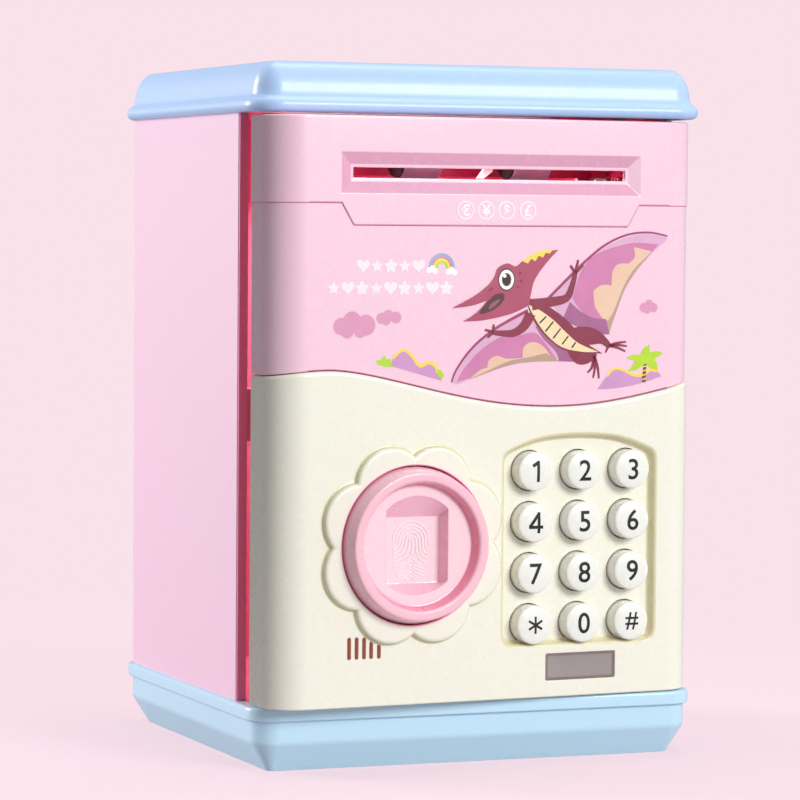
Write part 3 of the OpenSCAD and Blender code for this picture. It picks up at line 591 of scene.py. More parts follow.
def door_path(front_y):
    """Outline of the door from the left back edge round the front to the hinge edge, and the first and
    last item of its flat front. Each item is (point, outward normal, inner point)."""
    inner_y = front_y + PANEL_T
    corner_y = front_y + DOOR_R
    back_inner_y = corner_y + 0.6
    behind_hinge = hinge.x - 4
    corner_steps, flat_steps, hinge_steps = 12, 56, 8

    def turned(cx, start, i):
        """Item i of a rounded corner that begins at the angle start."""
        a = math.radians(start + 90 * i / corner_steps)
        n = (math.cos(a), math.sin(a))
        r = DOOR_R - PANEL_T
        return (cx + DOOR_R * n[0], corner_y + DOOR_R * n[1]), n, (cx + r * n[0], corner_y + r * n[1])

    items = [((-HALF_W, y), (-1, 0), (-HALF_W + PANEL_T, y))
             for y in (BACK_Y, BACK_Y - 0.6, (BACK_Y + corner_y) / 2)]
    items += [turned(-FLAT_X, 180, i) for i in range(corner_steps + 1)]
    first = len(items) - 1
    for i in range(1, flat_steps):
        x = -FLAT_X + 2 * FLAT_X * i / flat_steps
        items.append(((x, front_y), (0, -1), (x, inner_y)))
    items += [turned(FLAT_X, 270, i) for i in range(corner_steps + 1)]
    inner_right = HALF_W - PANEL_T
    for i in range(hinge_steps + 1):
        a = math.radians(90 * i / hinge_steps)
        n = (math.cos(a), math.sin(a))
        items.append(((hinge.x + HINGE_R * n[0], hinge.y + HINGE_R * n[1]), n,
                      (inner_right - (inner_right - behind_hinge) * i / (hinge_steps + 1), back_inner_y)))
    items.append(((behind_hinge, BACK_Y), (0, 1), (behind_hinge, back_inner_y)))
    return items, first, first + flat_steps


def door_shell(b, front_y, rows, caps):
    """The panel's outer and inner skin without its flat front. rows are functions of x that give
    (height, inset); caps say which end, "low" or "high", is closed right across."""
    items, first, last = door_path(front_y)
    skin = []
    for row in rows:
        line = []
        for (x, y), n, _ in items:
            z, inset = row(x)
            line.append(b.bm.verts.new((x - n[0] * inset, y - n[1] * inset, z)))
        skin.append(line)
    for a, c in zip(skin, skin[1:]):
        b.bridge(a[:first + 1], c[:first + 1], False)
        b.bridge(a[last:], c[last:], False)
    ends = {}
    wall = 2.0
    for end, row in (("low", rows[0]), ("high", rows[-1])):
        shift = 0.0 if end not in caps else (wall if end == "low" else -wall)
        ends[end] = [b.bm.verts.new((p[0], p[1], row(x)[0] + shift)) for (x, _), _, p in items]
    for i in range(len(items) - 1):
        if not first <= i < last:
            b.face((ends["low"][i], ends["low"][i + 1], ends["high"][i + 1], ends["high"][i]))
    for end, line in (("low", skin[0]), ("high", skin[-1])):
        if end in caps:
            b.face(line)
            b.face(list(reversed(ends[end])))
        else:
            b.bridge(line, ends[end], False)
    for i in (0, -1):
        column = [line[i] for line in skin]
        b.face(column + [ends["high"][i], ends["low"][i]])
    if caps:
        end = caps[0]
        outer_row = skin[0] if end == "low" else skin[-1]
        other = ends[end]
        b.face((outer_row[0], outer_row[-1], other[-1], other[0]))
    return skin, ends, first, last


def hole(b, steps, outline):
    """Rings of an opening. steps are (offset, y), outline(offset) gives the (x, z) points."""
    rings = [b.loop(at_y(outline(o), y)) for o, y in steps]
    b.rings(rings)
    return rings


def bridge_front(b, skin, first, last, which):
    """Closes the front between neighbouring rows of the skin."""
    for k in which:
        b.bridge(skin[k][first:last + 1], skin[k + 1][first:last + 1], False)


def open_front(b, skin, first, last, which):
    """Leaves only the two ends of the flat front in some rows of the skin."""
    for k in which:
        for v in skin[k][first + 1:last]:
            b.bm.verts.remove(v)
        skin[k] = skin[k][:first + 1] + skin[k][last:]


def front_border(skin, first, which, low_line, high_line):
    """Border of the flat front between two lines, by way of the ends of the opened rows."""
    left = [skin[k][first] for k in which]
    right = [skin[k][first + 1] for k in which]
    return low_line + right + high_line[::-1] + left[::-1]


STEP_LOW, STEP_HIGH, STEP_IN, STEP_OUT = 146.4, 152.3, 41.4, 45.0


def step_line(sign):
    """Points along the step between the raised head of the pink panel and its flat, on the front.
    sign is -1 for the foot of the step and 1 for its top."""
    d = sign * STEP_HALF
    return [(-STEP_OUT, STEP_HIGH + d), (-STEP_IN - d * 0.4, STEP_LOW + d),
            (STEP_IN + d * 0.4, STEP_LOW + d), (STEP_OUT, STEP_HIGH + d)]


def paint_bevel_shade(b, rings, slot_x, slot_z, half_h, head_y):
    """Gives the slot's bevel a darker pink, all but its right end: painted shade on its top, bottom and left
    faces.
    """
    reach = 4.05
    for v in (v for ring in rings for v in ring):
        for f in v.link_faces:
            c = f.calc_center_median()
            inside = abs(c.z - slot_z) < half_h + reach and c.x < slot_x + reach
            on_right = c.x - slot_x > abs(c.z - slot_z) - half_h
            if inside and not on_right and c.y > head_y + 0.08:
                f.material_index = b.keys.index("bevel")


def upper_panel():
    """The pink panel: a wavy lower edge, a raised head behind a step, and the bevelled banknote slot."""
    z_top = upper[1].z
    gap, low_r, top_r = 0.14, 0.35, 0.6
    flat_heights, head_height = (118.0, 135.0), 164.0
    slot_x, slot_z, half_h = 41.2, 160.4, 1.4
    head_y = PINK_Y - RAISE
    bevel_y = head_y + 1.34

    def low_edge(k):
        a = math.pi / 2 * k / 3
        return lambda x: (seam_z(x) + gap + low_r * (1 - math.sin(a)), low_r * (1 - math.cos(a)))

    def top_edge(k):
        a = math.pi / 2 * k / 3
        return lambda x: (z_top - top_r + top_r * math.sin(a), -RAISE + top_r * (1 - math.cos(a)))

    def slot_outline(o):
        return rounded(-slot_x - o, slot_x + o, slot_z - half_h - o, slot_z + half_h + o, 0.2 + o * 0.02, 3)

    rows = [low_edge(k) for k in (3, 2, 1, 0)]
    rows += [lambda x, z=z: (z, 0.0) for z in flat_heights]
    rows += [lambda x: (STEP_HIGH - STEP_HALF, 0.0), lambda x: (STEP_HIGH + STEP_HALF, -RAISE)]
    rows += [lambda x: (head_height, -RAISE)]
    rows += [top_edge(k) for k in range(EDGE_ROWS)]
    foot = EDGE_ROWS + len(flat_heights)
    head = foot + 1
    top_row = len(rows) - EDGE_ROWS
    b = Build("pink", "bevel", "seam_shade")
    skin, ends, first, last = door_shell(b, PINK_Y, rows, ["high"])
    # rolled edges run on across the front; the lower one is dark rose along the seam: painted shade
    b.use("seam_shade")
    bridge_front(b, skin, first, last, range(EDGE_ROWS - 1))
    b.use("pink")
    bridge_front(b, skin, first, last, range(top_row, len(rows) - 1))
    open_front(b, skin, first, last, range(EDGE_ROWS, top_row))
    # between the two step rows' ends, the front follows the step line, dark rose on the step: painted shade
    foot_line = [skin[foot][first]] + b.loop(at_y(step_line(-1), PINK_Y)) + [skin[foot][first + 1]]
    head_line = [skin[head][first]] + b.loop(at_y(step_line(1), head_y)) + [skin[head][first + 1]]
    b.use("seam_shade")
    b.bridge(foot_line, head_line, False)
    b.use("pink")
    low_line = skin[EDGE_ROWS - 1][first:last + 1]
    b.fill([front_border(skin, first, range(EDGE_ROWS, foot), low_line, foot_line)], (0, -1, 0))
    steps = [(4.3, head_y), (4.15, head_y + 0.03), (4.0, head_y + 0.12), (1.0, head_y + 1.3),
             (0.85, bevel_y), (0.25, bevel_y), (0.08, head_y + 1.4), (0.0, head_y + 1.54),
             (0.0, PINK_Y + PANEL_T)]
    slot = hole(b, steps, slot_outline)
    # faces on the step get the dark rose of painted shade
    for f in b.bm.faces:
        if all(abs(v.co.z - STEP_HIGH) < STEP_HALF * 1.1 for v in f.verts):
            f.material_index = b.keys.index("seam_shade")
    # painted shade on the bevel's top, bottom and left faces
    paint_bevel_shade(b, slot[2:4], slot_x, slot_z, half_h, head_y)
    b.fill([front_border(skin, first, range(head + 1, top_row), head_line, skin[top_row][first:last + 1]),
            slot[0]], (0, -1, 0))
    inner = ends["low"][first:last + 1] + ends["high"][first:last + 1][::-1]
    b.fill([inner, slot[-1]], (0, 1, 0))
    b.done("pink_door_panel", "door", ON_DOOR, ["door_upper_panel"], "pink_shell")


# flower, button and keys take their places from the CAD pieces
button = door_box("fingerprint_button")
DISH = centre(button)
DISH_R = 21.15
# the petals are circles of radius PETAL_R at PETAL_C from the middle
PETALS, PETAL_C, PETAL_R = 8, 17.3, 10.4
FLOWER_POINTS = 192


def flower(offset):
    """Outline of the eight petals grown by offset."""
    out = []
    r = PETAL_R + offset
    part = math.tau / PETALS
    for k in range(FLOWER_POINTS):
        t = math.tau * k / FLOWER_POINTS
        phi = t % part - part / 2
        rho = PETAL_C * math.cos(phi) + math.sqrt(max(r * r - (PETAL_C * math.sin(phi)) ** 2, 0.0))
        out.append((DISH.x + rho * math.cos(t), DISH.z + rho * math.sin(t)))
    return out


# the keypad recess: lowest and highest x, lowest and highest z of its sides, and the arch over them
RECESS = (3.7, 50.3, 32.7, 84.5)
RECESS_ARCH = 5.5
RECESS_Y = CREAM_Y + 2.5
RECESS_BACK = RECESS_Y + 2.0


def recess_distance(x, z):
    """Signed distance to the keypad recess: a rounded box under an arch, blended where they meet."""
    x0, x1, z0, z1 = RECESS
    corner_r, blend = 3.0, 2.0
    half = (x1 - x0) / 2
    dx = abs(x - (x0 + x1) / 2) - half + corner_r
    mid = (z0 + z1 + RECESS_ARCH) / 2
    dz = abs(z - mid) - (z1 + RECESS_ARCH - z0) / 2 + corner_r
    box = math.hypot(max(dx, 0), max(dz, 0)) + min(max(dx, dz), 0) - corner_r
    arch_r = (half * half + RECESS_ARCH ** 2) / (2 * RECESS_ARCH)
    arch = math.hypot(x - (x0 + x1) / 2, z - (z1 + RECESS_ARCH - arch_r)) - arch_r
    h = max(blend - abs(box - arch), 0) / blend
    return max(box, arch) + h * h * blend / 4


def recess(offset, n=240):
    """Outline of the keypad recess grown by offset, found by halving along rays from its middle."""
    cx, cz = (RECESS[0] + RECESS[1]) / 2, (RECESS[2] + RECESS[3]) / 2 + 2
    halvings = 32
    out = []
    for k in range(n):
        a = math.tau * k / n
        near, far = 0.0, 60.0
        for _ in range(halvings):
            mid = (near + far) / 2
            if recess_distance(cx + mid * math.cos(a), cz + mid * math.sin(a)) < offset:
                near = mid
            else:
                far = mid
        out.append((cx + near * math.cos(a), cz + near * math.sin(a)))
    return out


KEYS = [n for n in frame["nodes"] if n.startswith("key_") and n != "key_membrane"]
KEY_R = 5.3
KEY_HOLE_R = 5.6
# the indicator window: lowest and highest x, lowest and highest z
WINDOW = (16.8, 38.4, 22.5, 29.9)
# the speaker slots: half their width, their lowest z, and the middle and highest z of each
SPEAKER_HALF_W, SPEAKER_LOW = 0.45, 30.9
SPEAKER_X = (-42.5, -40.3, -38.1, -36.0, -33.7)
SPEAKER_TOP = (36.7, 36.7, 36.6, 35.4, 34.7)


def lower_panel():
    """The cream panel: the raised flower, the keypad recess, the indicator window and the speaker slots."""
    z_low = lower[0].z
    low_r, top_r = 0.5, 1.1
    side_heights = (40.0, 62.0, 84.0)
    inner_y = CREAM_Y + PANEL_T

    def low_edge(k):
        a = math.pi / 2 * k / 3
        return lambda x: (z_low + low_r * (1 - math.sin(a)), low_r * (1 - math.cos(a)))

    def top_edge(k):
        a = math.pi / 2 * k / 5
        return lambda x: (seam_z(x) - top_r + top_r * math.sin(a), top_r * (1 - math.cos(a)))

    rows = [low_edge(k) for k in (3, 2, 1, 0)]
    rows += [lambda x, z=z: (z, 0.0) for z in side_heights]
    rows += [top_edge(k) for k in range(CREAM_TOP_ROWS)]
    top_row = len(rows) - CREAM_TOP_ROWS
    b = Build("cream", "rose_shade", "grille", "flank")
    skin, ends, first, last = door_shell(b, CREAM_Y, rows, ["low"])
    bridge_front(b, skin, first, last, range(EDGE_ROWS - 1))
    bridge_front(b, skin, first, last, range(top_row, len(rows) - 1))
    open_front(b, skin, first, last, range(EDGE_ROWS, top_row))
    border = front_border(skin, first, range(EDGE_ROWS, top_row), skin[EDGE_ROWS - 1][first:last + 1],
                          skin[top_row][first:last + 1])
    openings, backs = [], []

    # flower: a soft foot and a steep side, then a rounded brow and a flat top round the button's well; the
    # side and the lower brow are a darker yellow cream: painted shade
    brow_r = 1.25
    brow = [(-brow_r * (1 - math.cos(a)), FLOWER_Y + brow_r - brow_r * math.sin(a))
            for a in (math.pi / 2 * k / 6 for k in range(7))]
    flank = [(0.55, CREAM_Y), (0.22, CREAM_Y - 0.1), (0.05, CREAM_Y - 0.32)] + brow[:4]
    well = [(0.35, FLOWER_Y), (0.1, FLOWER_Y + 0.1), (0.0, FLOWER_Y + 0.35), (0.0, inner_y)]
    b.use("flank")
    openings.append(hole(b, flank, flower)[0])
    b.use("cream")
    brow_rings = hole(b, brow[3:], flower)
    # the wall of the button's hole is deep rose: painted shade
    b.use("rose_shade")
    rim = hole(b, well, lambda o: circle(DISH.x, DISH.z, DISH_R + 0.25 + o, FLOWER_POINTS))
    b.use("cream")
    b.bridge(brow_rings[-1], rim[0])
    backs.append(rim[-1])

    # keypad recess with its floor and key holes; its wall is a darker yellow cream: painted shade
    wall = [(0.9, CREAM_Y), (0.55, CREAM_Y + 0.07), (0.25, CREAM_Y + 0.27), (0.05, CREAM_Y + 0.6),
            (-0.25, RECESS_Y - 0.7), (-0.45, RECESS_Y - 0.3), (-0.75, RECESS_Y - 0.08), (-1.1, RECESS_Y)]
    key_hole = [(0.3, RECESS_Y), (0.08, RECESS_Y + 0.08), (0.0, RECESS_Y + 0.3), (0.0, RECESS_BACK)]
    b.use("flank")
    tray = hole(b, wall, recess)
    b.use("cream")
    openings.append(tray[0])
    floor_holes, back_holes = [], []
    for node in KEYS:
        c = centre(door_box(node))
        rings = hole(b, key_hole, lambda o: circle(c.x, c.z, KEY_HOLE_R + o))
        floor_holes.append(rings[0])
        back_holes.append(rings[-1])
    b.fill([tray[-1]] + floor_holes, (0, -1, 0))
    tray_back = hole(b, [(1.9, inner_y), (1.9, RECESS_BACK)], recess)
    b.fill([tray_back[-1]] + back_holes, (0, 1, 0))
    backs.append(tray_back[0])

    # indicator window and speaker slots
    x0, x1, z0, z1 = WINDOW
    steps = [(0.25, CREAM_Y), (0.06, CREAM_Y + 0.06), (0.0, CREAM_Y + 0.25), (0.0, inner_y)]
    rings = hole(b, steps, lambda o: rounded(x0 - o, x1 + o, z0 - o, z1 + o, 0.4 + o, 4))
    openings.append(rings[0])
    backs.append(rings[-1])
    steps = [(0.16, CREAM_Y), (0.04, CREAM_Y + 0.05), (0.0, CREAM_Y + 0.2), (0.0, inner_y)]
    # the speaker slots' walls get the brown painted shade and the glow of painted light
    b.use("grille")
    for x, top in zip(SPEAKER_X, SPEAKER_TOP):
        x0, x1 = x - SPEAKER_HALF_W, x + SPEAKER_HALF_W
        rings = hole(b, steps, lambda o: rounded(x0 - o, x1 + o, SPEAKER_LOW - o, top + o, 0.42 + o, 4))
        openings.append(rings[0])
        backs.append(rings[-1])
    b.use("cream")
    b.fill([border] + openings, (0, -1, 0))
    inner = ends["low"][first:last + 1] + ends["high"][first:last + 1][::-1]
    b.fill([inner] + backs, (0, 1, 0))
    b.done("cream_door_panel", "door", ON_DOOR, ["door_lower_panel"], "cream_panel")


upper_panel()
lower_panel()

# ---------------------------------------------------------------- keys

SIGNS = {"key_star": "*", "key_hash": "#"}
DIGIT_H, HASH_H = 5.7, 4.8
DIGIT_STROKE, STAR_STROKE = 0.86, 0.62
DIGIT_LIFT = 0.035
DOME_R = 26.0


def lay_strokes(b, strokes, width, cx, cz, surface, lift):
    """Lays straight strokes, each a pair of (x, z) ends, on the door as a thin raised print."""
    parts = 6
    for i, (p, q) in enumerate(strokes):
        p, q = Vector(p), Vector(q)
        along = (q - p).normalized()
        across = Vector((-along.y, along.x)) * width / 2
        side = [p + (q - p) * k / parts for k in range(parts + 1)]
        outline = [v + across for v in side] + [v - across for v in reversed(side)]
        rise = lift + 0.004 * i
        b.slab([(cx + v.x, cz + v.y) for v in outline],
               lambda x, z: (x, surface(x, z) - rise, z), lambda x, z: (x, surface(x, z) + PRINT_BACK, z))


# characters that are drawn with straight strokes
STROKES = {
    "1": [((0.45, -2.85), (0.45, 2.85)), ((0.62, 2.6), (-1.25, 1.45))],
    "4": [((0.75, -2.85), (0.75, 2.85)), ((0.9, 2.7), (-1.95, -1.05)), ((-2.25, -1.2), (2.05, -1.2))],
    "*": [((2.35 * math.cos(a), 2.35 * math.sin(a)), (-2.35 * math.cos(a), -2.35 * math.sin(a)))
          for a in (math.pi / 2, math.pi / 6, -math.pi / 6)],
}


def glyph_mesh(text, height, bold):
    """Triangles of a glyph in the built-in face, centred and height mm tall. bold thickens its strokes."""
    curve = bpy.data.curves.new("glyph", "FONT")
    curve.body = text
    curve.resolution_u = 6
    curve.offset = bold
    obj = new_object("glyph", curve)
    mesh = bpy.data.meshes.new_from_object(obj.evaluated_get(bpy.context.evaluated_depsgraph_get()))
    bm = bmesh.new()
    bm.from_mesh(mesh)
    bpy.data.objects.remove(obj)
    bpy.data.curves.remove(curve)
    bpy.data.meshes.remove(mesh)
    xs = [v.co.x for v in bm.verts]
    ys = [v.co.y for v in bm.verts]
    k = height / (max(ys) - min(ys))
    cx, cy = (max(xs) + min(xs)) / 2, (max(ys) + min(ys)) / 2
    for v in bm.verts:
        v.co = ((v.co.x - cx) * k, (v.co.y - cy) * k, 0)
    bmesh.ops.triangulate(bm, faces=bm.faces)
    return bm


def lay_glyph(b, text, height, cx, cz, surface, lift, bold=0.01):
    """Lays a glyph on the door as a thin raised print. surface(x, z) is the depth that it lies on."""
    bm = glyph_mesh(text, height, bold)
    bmesh.ops.subdivide_edges(bm, edges=bm.edges, cuts=2, use_grid_fill=True)
    top, back = {}, {}
    for v in bm.verts:
        x, z = cx + v.co.x, cz + v.co.y
        y = surface(x, z)
        top[v] = b.bm.verts.new((x, y - lift, z))
        back[v] = b.bm.verts.new((x, y + PRINT_BACK, z))
    for f in bm.faces:
        b.face([top[v] for v in f.verts])
        b.face([back[v] for v in reversed(f.verts)])
    for e in bm.edges:
        if len(e.link_faces) == 1:
            v, w = e.verts
            b.face((top[v], back[v], back[w], top[w]))
    bm.free()


def make_key(node):
    """A key: a domed crown with a rolled edge, a flange behind the panel, a stem and a printed character."""
    low, high = door_box(node)
    c = centre((low, high))
    edge = 0.45
    b = Build("key", "digit")

    def dome(x, z):
        return low.y + DOME_R - math.sqrt(DOME_R ** 2 - (x - c.x) ** 2 - (z - c.z) ** 2)

    crown_radii = [(KEY_R - edge) * k / 8 for k in range(9)]
    crown = [(r, low.y + DOME_R - math.sqrt(DOME_R ** 2 - r * r)) for r in crown_radii]
    crown_y = crown[-1][1]
    crown += [(KEY_R - edge + edge * math.sin(a), crown_y + edge * (1 - math.cos(a)) + 0.04)
              for a in (0.35, 0.75, 1.15, 1.57)]
    flange_r, flange_y, flange_t, stem_r = KEY_R + 0.9, RECESS_BACK + 0.2, 1.2, 2.6
    side = [(KEY_R, flange_y), (flange_r, flange_y), (flange_r, flange_y + flange_t),
            (stem_r, flange_y + flange_t), (stem_r, high.y), (0, high.y)]
    revolve(b, c.x, c.z, crown + side, 56)
    b.use("digit")
    text = SIGNS.get(node, node[len("key_"):])
    if text in STROKES:
        width = STAR_STROKE if text == "*" else DIGIT_STROKE
        lay_strokes(b, STROKES[text], width, c.x, c.z, dome, DIGIT_LIFT)
    else:
        lay_glyph(b, text, HASH_H if text == "#" else DIGIT_H, c.x, c.z, dome, DIGIT_LIFT)
    b.done("cap_" + node, node, ON_DOOR, [node], "white_plastic")


for key_node in KEYS:
    make_key(key_node)

# ---------------------------------------------------------------- fingerprint button

RIM_Y = button[0].y
DISH_DEPTH = 3.4
POCKET_HALF_W, POCKET_R, POCKET_DEPTH = 9.1, 13.25, 3.8
PAD_HALF_W, PAD_LOW, PAD_HIGH = 8.0, -10.3, 7.5
STEM_R = 1.6


def pocket(offset, n_side=16, n_arc=16):
    """Outline of the pocket: a disc cut off left and right, counterclockwise from the lower right."""
    w, r = POCKET_HALF_W + offset, POCKET_R + offset
    h = math.sqrt(r * r - w * w)
    a = math.degrees(math.atan2(h, w))
    out = [(w, -h + 2 * h * k / n_side) for k in range(n_side)]
    out += arc(0, 0, r, a, 180 - a, n_arc)[:-1]
    out += [(-w, h - 2 * h * k / n_side) for k in range(n_side)]
    out += arc(0, 0, r, 180 + a, 360 - a, n_arc)[:-1]
    return [(DISH.x + x, DISH.z + z) for x, z in out]


def pad(offset, n_side=16, n_arc=16):
    """Outline of the pocket's floor, with the same number of points."""
    w, low, high = PAD_HALF_W + offset, PAD_LOW - offset, PAD_HIGH + offset
    out = [(w, low + (high - low) * k / n_side) for k in range(n_side)]
    out += [(w - 2 * w * k / n_arc, high) for k in range(n_arc)]
    out += [(-w, high - (high - low) * k / n_side) for k in range(n_side)]
    out += [(-w + 2 * w * k / n_arc, low) for k in range(n_arc)]
    return [(DISH.x + x, DISH.z + z) for x, z in out]


def fingerprint_button():
    """The button: a rim, a dish with a turned step, a pocket and a back with a stem for the switch."""
    b = Build("button", "dish_floor", "ridge", "dish_shade", "pocket_shade")
    floor_y = RIM_Y + DISH_DEPTH
    pad_y = floor_y + POCKET_DEPTH
    flange = CREAM_Y + PANEL_T + 0.5
    back_y = floor_y + 2.2
    pocket_back = pad_y + 1.2
    stem_z = DISH.z - 2
    r = DISH_R
    floor = [(r - 5.35, floor_y - 0.1), (r - 5.2, floor_y)]
    foot = [(r - 5.2, floor_y), (r - 4.95, floor_y - 0.06)]
    wall = foot[1:] + [(r - 4.7, floor_y - 0.35), (r - 4.5, floor_y - 0.9), (r - 4.15, RIM_Y + 1.1),
                       (r - 3.9, RIM_Y + 0.5)]
    rim = wall[-1:] + [(r - 3.6, RIM_Y + 0.15), (r - 3.25, RIM_Y), (r - 1.8, RIM_Y),
                       (r - 1.45, RIM_Y + 0.12), (r - 1.15, RIM_Y + 0.45), (r - 0.15, FLOWER_Y),
                       (r, CREAM_Y), (r, flange)]
    back = [(r + 1.4, flange), (r + 1.4, flange + 1.0), (r - 2.2, flange + 1.0), (r - 2.2, back_y)]
    b.use("dish_shade")
    revolve(b, DISH.x, DISH.z, wall, 128)
    b.use("button")
    revolve(b, DISH.x, DISH.z, foot, 128)
    rings = revolve(b, DISH.x, DISH.z, rim + back, 128)
    b.use("dish_floor")
    step = revolve(b, DISH.x, DISH.z, floor, 128)
    b.use("pocket_shade")
    mouth = hole(b, [(0.3, floor_y - 0.1), (0.1, floor_y - 0.04), (0.0, floor_y + 0.15)], pocket)
    b.use("dish_floor")
    b.fill([step[0], mouth[0]], (0, -1, 0))
    bottom = [b.loop(at_y(pad(0.12), pad_y - 0.12)), b.loop(at_y(pad(-0.15), pad_y))]
    b.use("pocket_shade")
    b.bridge(mouth[-1], bottom[0])
    b.use("dish_floor")
    b.bridge(bottom[0], bottom[1])
    b.fill([bottom[1]], (0, -1, 0))
    b.use("button")
    outside = hole(b, [(1.2, back_y), (1.2, pocket_back)], pocket)
    b.fill([rings[-1], outside[0]], (0, 1, 0))
    stem = [b.loop(at_y(circle(DISH.x, stem_z, STEM_R, 24), y)) for y in (pocket_back, button[1].y)]
    b.rings(stem)
    b.fill([outside[-1], stem[0]], (0, 1, 0))
    b.fill([stem[-1]], (0, 1, 0))
    bmesh.ops.remove_doubles(b.bm, verts=b.bm.verts, dist=0.0005)
    ridge_w, ridge_rise = 0.48, 0.14
    b.use("ridge")
    for line in ridges():
        outline = [(DISH.x + x, DISH.z + z) for x, z in stroke(line, ridge_w, ridge_w)]
        b.slab(outline, lambda x, z: (x, pad_y - ridge_rise, z), lambda x, z: (x, pad_y + PRINT_BACK, z))
    b.done("fingerprint_dish", "fingerprint_button", ON_DOOR, ["fingerprint_button"], "pink_shell")


def spring_coil():
    """The button's return spring, a wire coil against the circuit board."""
    low, high = door_box("button_spring")
    middle = centre((low, high))
    wire_r, turns, per_turn, sides = 0.3, 3, 48, 12
    coil_r = (high.x - low.x) / 2 - wire_r
    length = high.y - low.y
    n = turns * per_turn
    b = Build("steel")
    loops = []
    for i in range(n + 1):
        a = math.tau * i / per_turn
        y = low.y + wire_r + (length - 2 * wire_r) * i / n
        around = [math.tau * k / sides for k in range(sides)]
        wire = [(coil_r + wire_r * math.cos(t), y + wire_r * math.sin(t)) for t in around]
        loops.append(b.loop([(middle.x + r * math.cos(a), v, middle.z + r * math.sin(a)) for r, v in wire]))
    b.rings(loops)
    b.face(loops[0])
    b.face(loops[-1])
    coil = b.done("spring_coil", "door", ON_DOOR, ["button_spring"], "steel")
    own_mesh(coil)


# A made-up fingerprint: ARCH_LEGS[k] holds the points after the left and the right end of arch k, and
# BENT_HALVES half the width of each bent line under the arches.
ARCH_LEGS = [
    ([(-0.9, -1.4), (-2.6, -3.5), (-5.1, -4.5)], [(0.5, -0.9), (0.1, -2.3)]),
    ([(-1.8, -0.6), (-3.1, -2.4), (-5.2, -3.4)], [(1.55, -1.2), (2.3, -3.4), (3.6, -4.5), (5.0, -4.9)]),
    ([(-2.7, 0.0), (-3.6, -1.4), (-5.3, -2.3)], [(2.55, -1.0), (3.3, -2.8), (5.1, -3.8)]),
    ([(-3.6, 0.3), (-4.2, -0.5), (-5.3, -1.15)], [(3.5, -0.8), (4.0, -2.0), (5.1, -2.7)]),
    ([(-4.5, 0.4), (-5.3, -0.1)], [(4.4, -0.6), (5.1, -1.5)]),
    ([(-5.35, 0.9)], [(5.3, -0.2)]),
]
BENT_HALVES = (5.0, 4.9, 4.6, 3.9, 2.9, 1.5)


def ridges():
    """Centre lines of the fingerprint: arches with legs that fan out, over bent lines."""
    core_z, pitch = 0.95, 0.96
    lines = []
    for k, (left, right) in enumerate(ARCH_LEGS):
        r = 0.55 + pitch * k
        lines.append(left[::-1] + arc(0, core_z, r, 180, 0, 8) + right)
    for k, half in enumerate(BENT_HALVES):
        top = -3.45 - pitch * k
        lines.append([(x, top - 2.5 * (1 - math.exp(-abs(x) / 2.3)))
                      for x in (-half, -half * 0.66, -half * 0.33, 0, half * 0.33, half * 0.66, half)])
    return lines


def spline(points, closed=True, steps=6):
    """Smooth line through points. A point with a third item is a corner."""
    n = len(points)
    place = [Vector(p[:2]) for p in points]
    slope = []
    for i, p in enumerate(points):
        if len(p) > 2 or (not closed and i in (0, n - 1)):
            slope.append(Vector((0, 0)))
        else:
            slope.append((place[(i + 1) % n] - place[i - 1]) / 2)
    out = []
    for i in range(n if closed else n - 1):
        j = (i + 1) % n
        a, b, u, v = place[i], place[j], slope[i], slope[j]
        straight = u.length == 0 and v.length == 0
        for k in range(1 if straight else steps):
            t = 0.0 if straight else k / steps
            out.append(a * (2 * t ** 3 - 3 * t * t + 1) + u * (t ** 3 - 2 * t * t + t)
                       + b * (3 * t * t - 2 * t ** 3) + v * (t ** 3 - t * t))
    if not closed:
        out.append(place[-1])
    return [tuple(p) for p in out]


def stroke(points, start, end):
    """Outline of a line drawn through points, start wide where it begins and end wide where it stops."""
    line = [Vector(p) for p in spline(points, closed=False, steps=5)]
    n = len(line)
    sides = ([], [])
    for i, p in enumerate(line):
        along = (line[min(i + 1, n - 1)] - line[max(i - 1, 0)]).normalized()
        across = Vector((-along.y, along.x)) * (start + (end - start) * i / (n - 1)) / 2
        sides[0].append(tuple(p + across))
        sides[1].append(tuple(p - across))
    return sides[0] + sides[1][::-1]


def puffs(cx, cz, circles, n=72):
    """Outline of overlapping circles (x, z, r) as seen from a point inside them."""
    out = []
    for k in range(n):
        a = math.tau * k / n
        ux, uz = math.cos(a), math.sin(a)
        far = 0.0
        for x, z, r in circles:
            along = (x - cx) * ux + (z - cz) * uz
            across = (x - cx) * uz - (z - cz) * ux
            if abs(across) < r:
                far = max(far, along + math.sqrt(r * r - across * across))
        out.append((cx + far * ux, cz + far * uz))
    return out


def band(cx, cz, outer, inner, a0, a1):
    """Outline of a curved band between two radii."""
    return arc(cx, cz, outer, a0, a1, 20) + arc(cx, cz, inner, a1, a0, 20)


def star(cx, cz, r, tips=5, waist=0.48):
    return [(cx + q * math.sin(a), cz + q * math.cos(a))
            for a, q in ((math.pi * k / tips, r if k % 2 == 0 else r * waist) for k in range(2 * tips))]


def heart(cx, cz, r):
    """Outline of a heart about 2 r wide."""
    out = []
    for k in range(40):
        t = math.tau * (k + 0.5) / 40
        x = math.sin(t) ** 3
        z = (13 * math.cos(t) - 5 * math.cos(2 * t) - 2 * math.cos(3 * t) - math.cos(4 * t)) / 16
        out.append((cx + r * x, cz + r * (z + 0.1)))
    return out


def blossom(cx, cz, r, petals=5):
    return [(cx + q * math.sin(a), cz + q * math.cos(a))
            for a, q in ((math.tau * k / 60, r * (0.8 + 0.2 * math.cos(petals * math.tau * k / 60)))
                         for k in range(60))]


PRINT_LIFT = 0.03
PRINT_LAYER = 0.02


class Print(Build):
    """Flat prints on the pink panel. A higher layer lies over a lower one."""

    def lay(self, key, outline, layer=0):
        self.use(key)
        y = PINK_Y - PRINT_LIFT - PRINT_LAYER * layer
        self.slab(outline, lambda x, z: (x, y, z), lambda x, z: (x, PINK_Y + PRINT_BACK, z))


# third item of a point where a spline has a corner
C = "corner"


